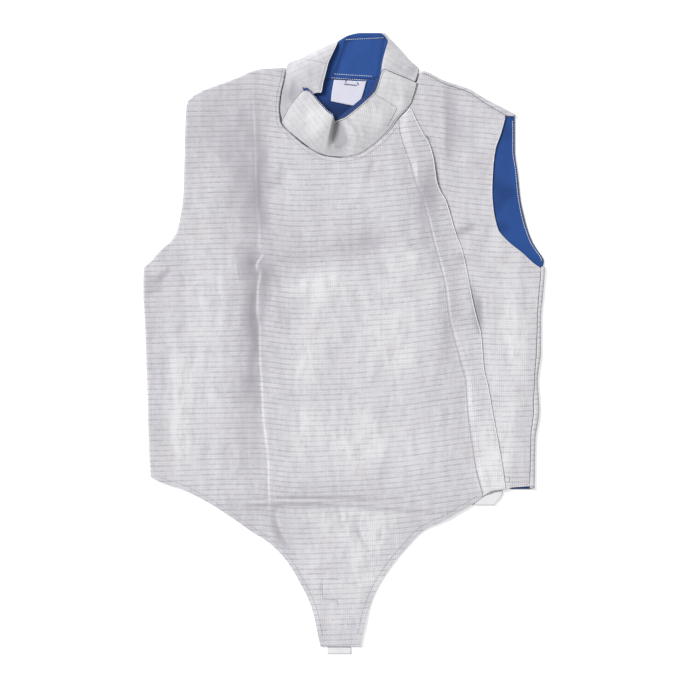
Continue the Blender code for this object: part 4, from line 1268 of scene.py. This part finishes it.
def sew_linings():
    """White stitches on the blue linings, the right armhole's dark edge, a dark line painted as shade beside
    the left armhole, and the label's open square of stitches.
    """
    over = LINING + 0.2
    top = on_grid("collar_lining", *through((2.4, 379.4), (49.8, 381.8)), over)
    seam = on_grid("collar_lining", *through((-12, 336.6), (35.4, 333.7)), over)
    below = level(*through((-15.5, 331.6), (31.1, 328.4)), 4.4)
    x = np.linspace(-66, 88, 80)
    join = level(x, neck_seam(x) + 0.1, CLOTH + GAP + 0.7)
    edge = rim(EDGE_LINING, 0.06, 0.99, 90, (0, 0, 0.25), 0.2)
    y = np.linspace(103, 279, 200)
    arm_x = curve(ARMHOLE_LINING, 2)(y)
    arm = on_grid("armhole_lining", arm_x - 1.9, y, over)
    arm_edge = on_grid("armhole_lining", arm_x - 0.4, y, over - 0.4)
    y = np.linspace(106, 299, 200)
    # A dark grey tube on the back's edge beside the left armhole: painted shade.
    left = level(left_edge(y) + 0.4, y, 0.75)
    hem_edge = level(np.linspace(209, 234, 30), -181.3, CLOTH + GAP + 0.5)
    marks = [on_grid("neck_label", *through(*pair), over) for pair in (
        ((2.7, 329.2), (1.7, 324.2)), ((0.2, 323.8), (17.5, 322.1)), ((17.7, 322.7), (16.2, 326.8)),
    )]
    return {
        "collar_lining_cloth": [sew("collar_white_stitch", [top, seam], 2.8, 0.82, 0.4, WHITE_THREAD, "label")],
        "neck_lining_cloth": [
            sew("neck_white_stitch", [below], 2.8, 0.82, 0.4, WHITE_THREAD, "label"),
            roll("neck_seam_blue", [join], 0.75, BLUE_ROLL, "lining"),
        ],
        "collar_edge_lining_cloth": [sew("edge_white_stitch", [edge], 2.8, 0.82, 0.45, WHITE_THREAD, "label")],
        "armhole_lining_cloth": [
            sew("armhole_white_stitch", [arm], 2.8, 0.92, 0.42, WHITE_THREAD, "label"),
            roll("armhole_dark_edge", [arm_edge], 0.5, BLUE_ROLL, "lining"),
        ],
        "hem_lining_cloth": [roll("hem_blue_edge", [hem_edge], 0.7, DARK_THREAD, "lining")],
        "neck_label_cloth": [sew("label_stitch", marks, 2.0, 0.8, 0.75, DARK_THREAD, "lining")],
        "back_cloth": [roll("left_armhole_shade_line", [left], 0.5, SEAM_GREY)],
    }


make_panels()
make_collar()
make_linings()
CARRIED = {**sew_front(), **sew_side(), **sew_collar(), **sew_linings()}

# What a cloth rests on where that isn't the back.
RESTS_ON = {
    "closure_flap_cloth": ["front_side_cloth", "front_main_cloth"],
    "collar_front_cloth": ["collar_left_cloth", "collar_right_cloth"],
    **dict.fromkeys(("collar_lining_cloth", "collar_left_cloth", "collar_right_cloth"), ["collar_back_cloth"]),
    **dict.fromkeys(("collar_edge_lining_cloth", "neck_label_cloth"), ["neck_lining_cloth"]),
    **dict.fromkeys(("back_cloth", "collar_back_cloth", "groin_tab_cloth"), []),
}


# The floor, the lights and the camera


def make_floor():
    """A wide white sheet just under the garment, a little brighter than the light makes it."""
    mesh = bpy.data.meshes.new("floor")
    reach = 6.0
    corners = [(-reach, -reach, 0), (reach, -reach, 0), (reach, reach, 0), (-reach, reach, 0)]
    mesh.from_pydata(corners, [], [(0, 1, 2, 3)])
    floor = bpy.data.objects.new("floor", mesh)
    bpy.context.scene.collection.objects.link(floor)
    floor.location.z = -0.0002
    made = bpy.data.materials.new("floor paper")
    made.use_nodes = True
    shader = made.node_tree.nodes["Principled BSDF"]
    shader.inputs["Base Color"].default_value = (0.6, 0.6, 0.6, 1)
    shader.inputs["Roughness"].default_value = 0.9
    shader.inputs["Emission Color"].default_value = (1, 1, 1, 1)
    shader.inputs["Emission Strength"].default_value = 0.55
    mesh.materials.append(made)


def make_light():
    """A broad key from the upper left, as far as a studio's window wall, and white light from all round."""
    world = bpy.data.worlds.new("studio")
    world.use_nodes = True
    world.node_tree.nodes["Background"].inputs["Color"].default_value = (0.97, 0.98, 1, 1)
    world.node_tree.nodes["Background"].inputs["Strength"].default_value = 0.36
    bpy.context.scene.world = world
    key = bpy.data.lights.new("key", "SUN")
    key.energy = 3.0
    key.angle = math.radians(24)
    lamp = bpy.data.objects.new("key", key)
    lamp.rotation_euler = (0, math.radians(-48), math.radians(-35))
    bpy.context.scene.collection.objects.link(lamp)


def make_camera():
    """Straight above. The photograph's 680 pixels span 850 mm, about a point a little left of the middle."""
    distance, span = 3.0, 0.85
    camera = bpy.data.cameras.new("camera")
    camera.sensor_width = 36
    camera.lens = 36 * distance / span
    eye = bpy.data.objects.new("camera", camera)
    eye.location = (-0.0049, 0.0044, distance)
    bpy.context.scene.collection.objects.link(eye)
    bpy.context.scene.camera = eye


make_floor()
make_light()
make_camera()
bpy.context.scene.view_settings.view_transform = "Standard"
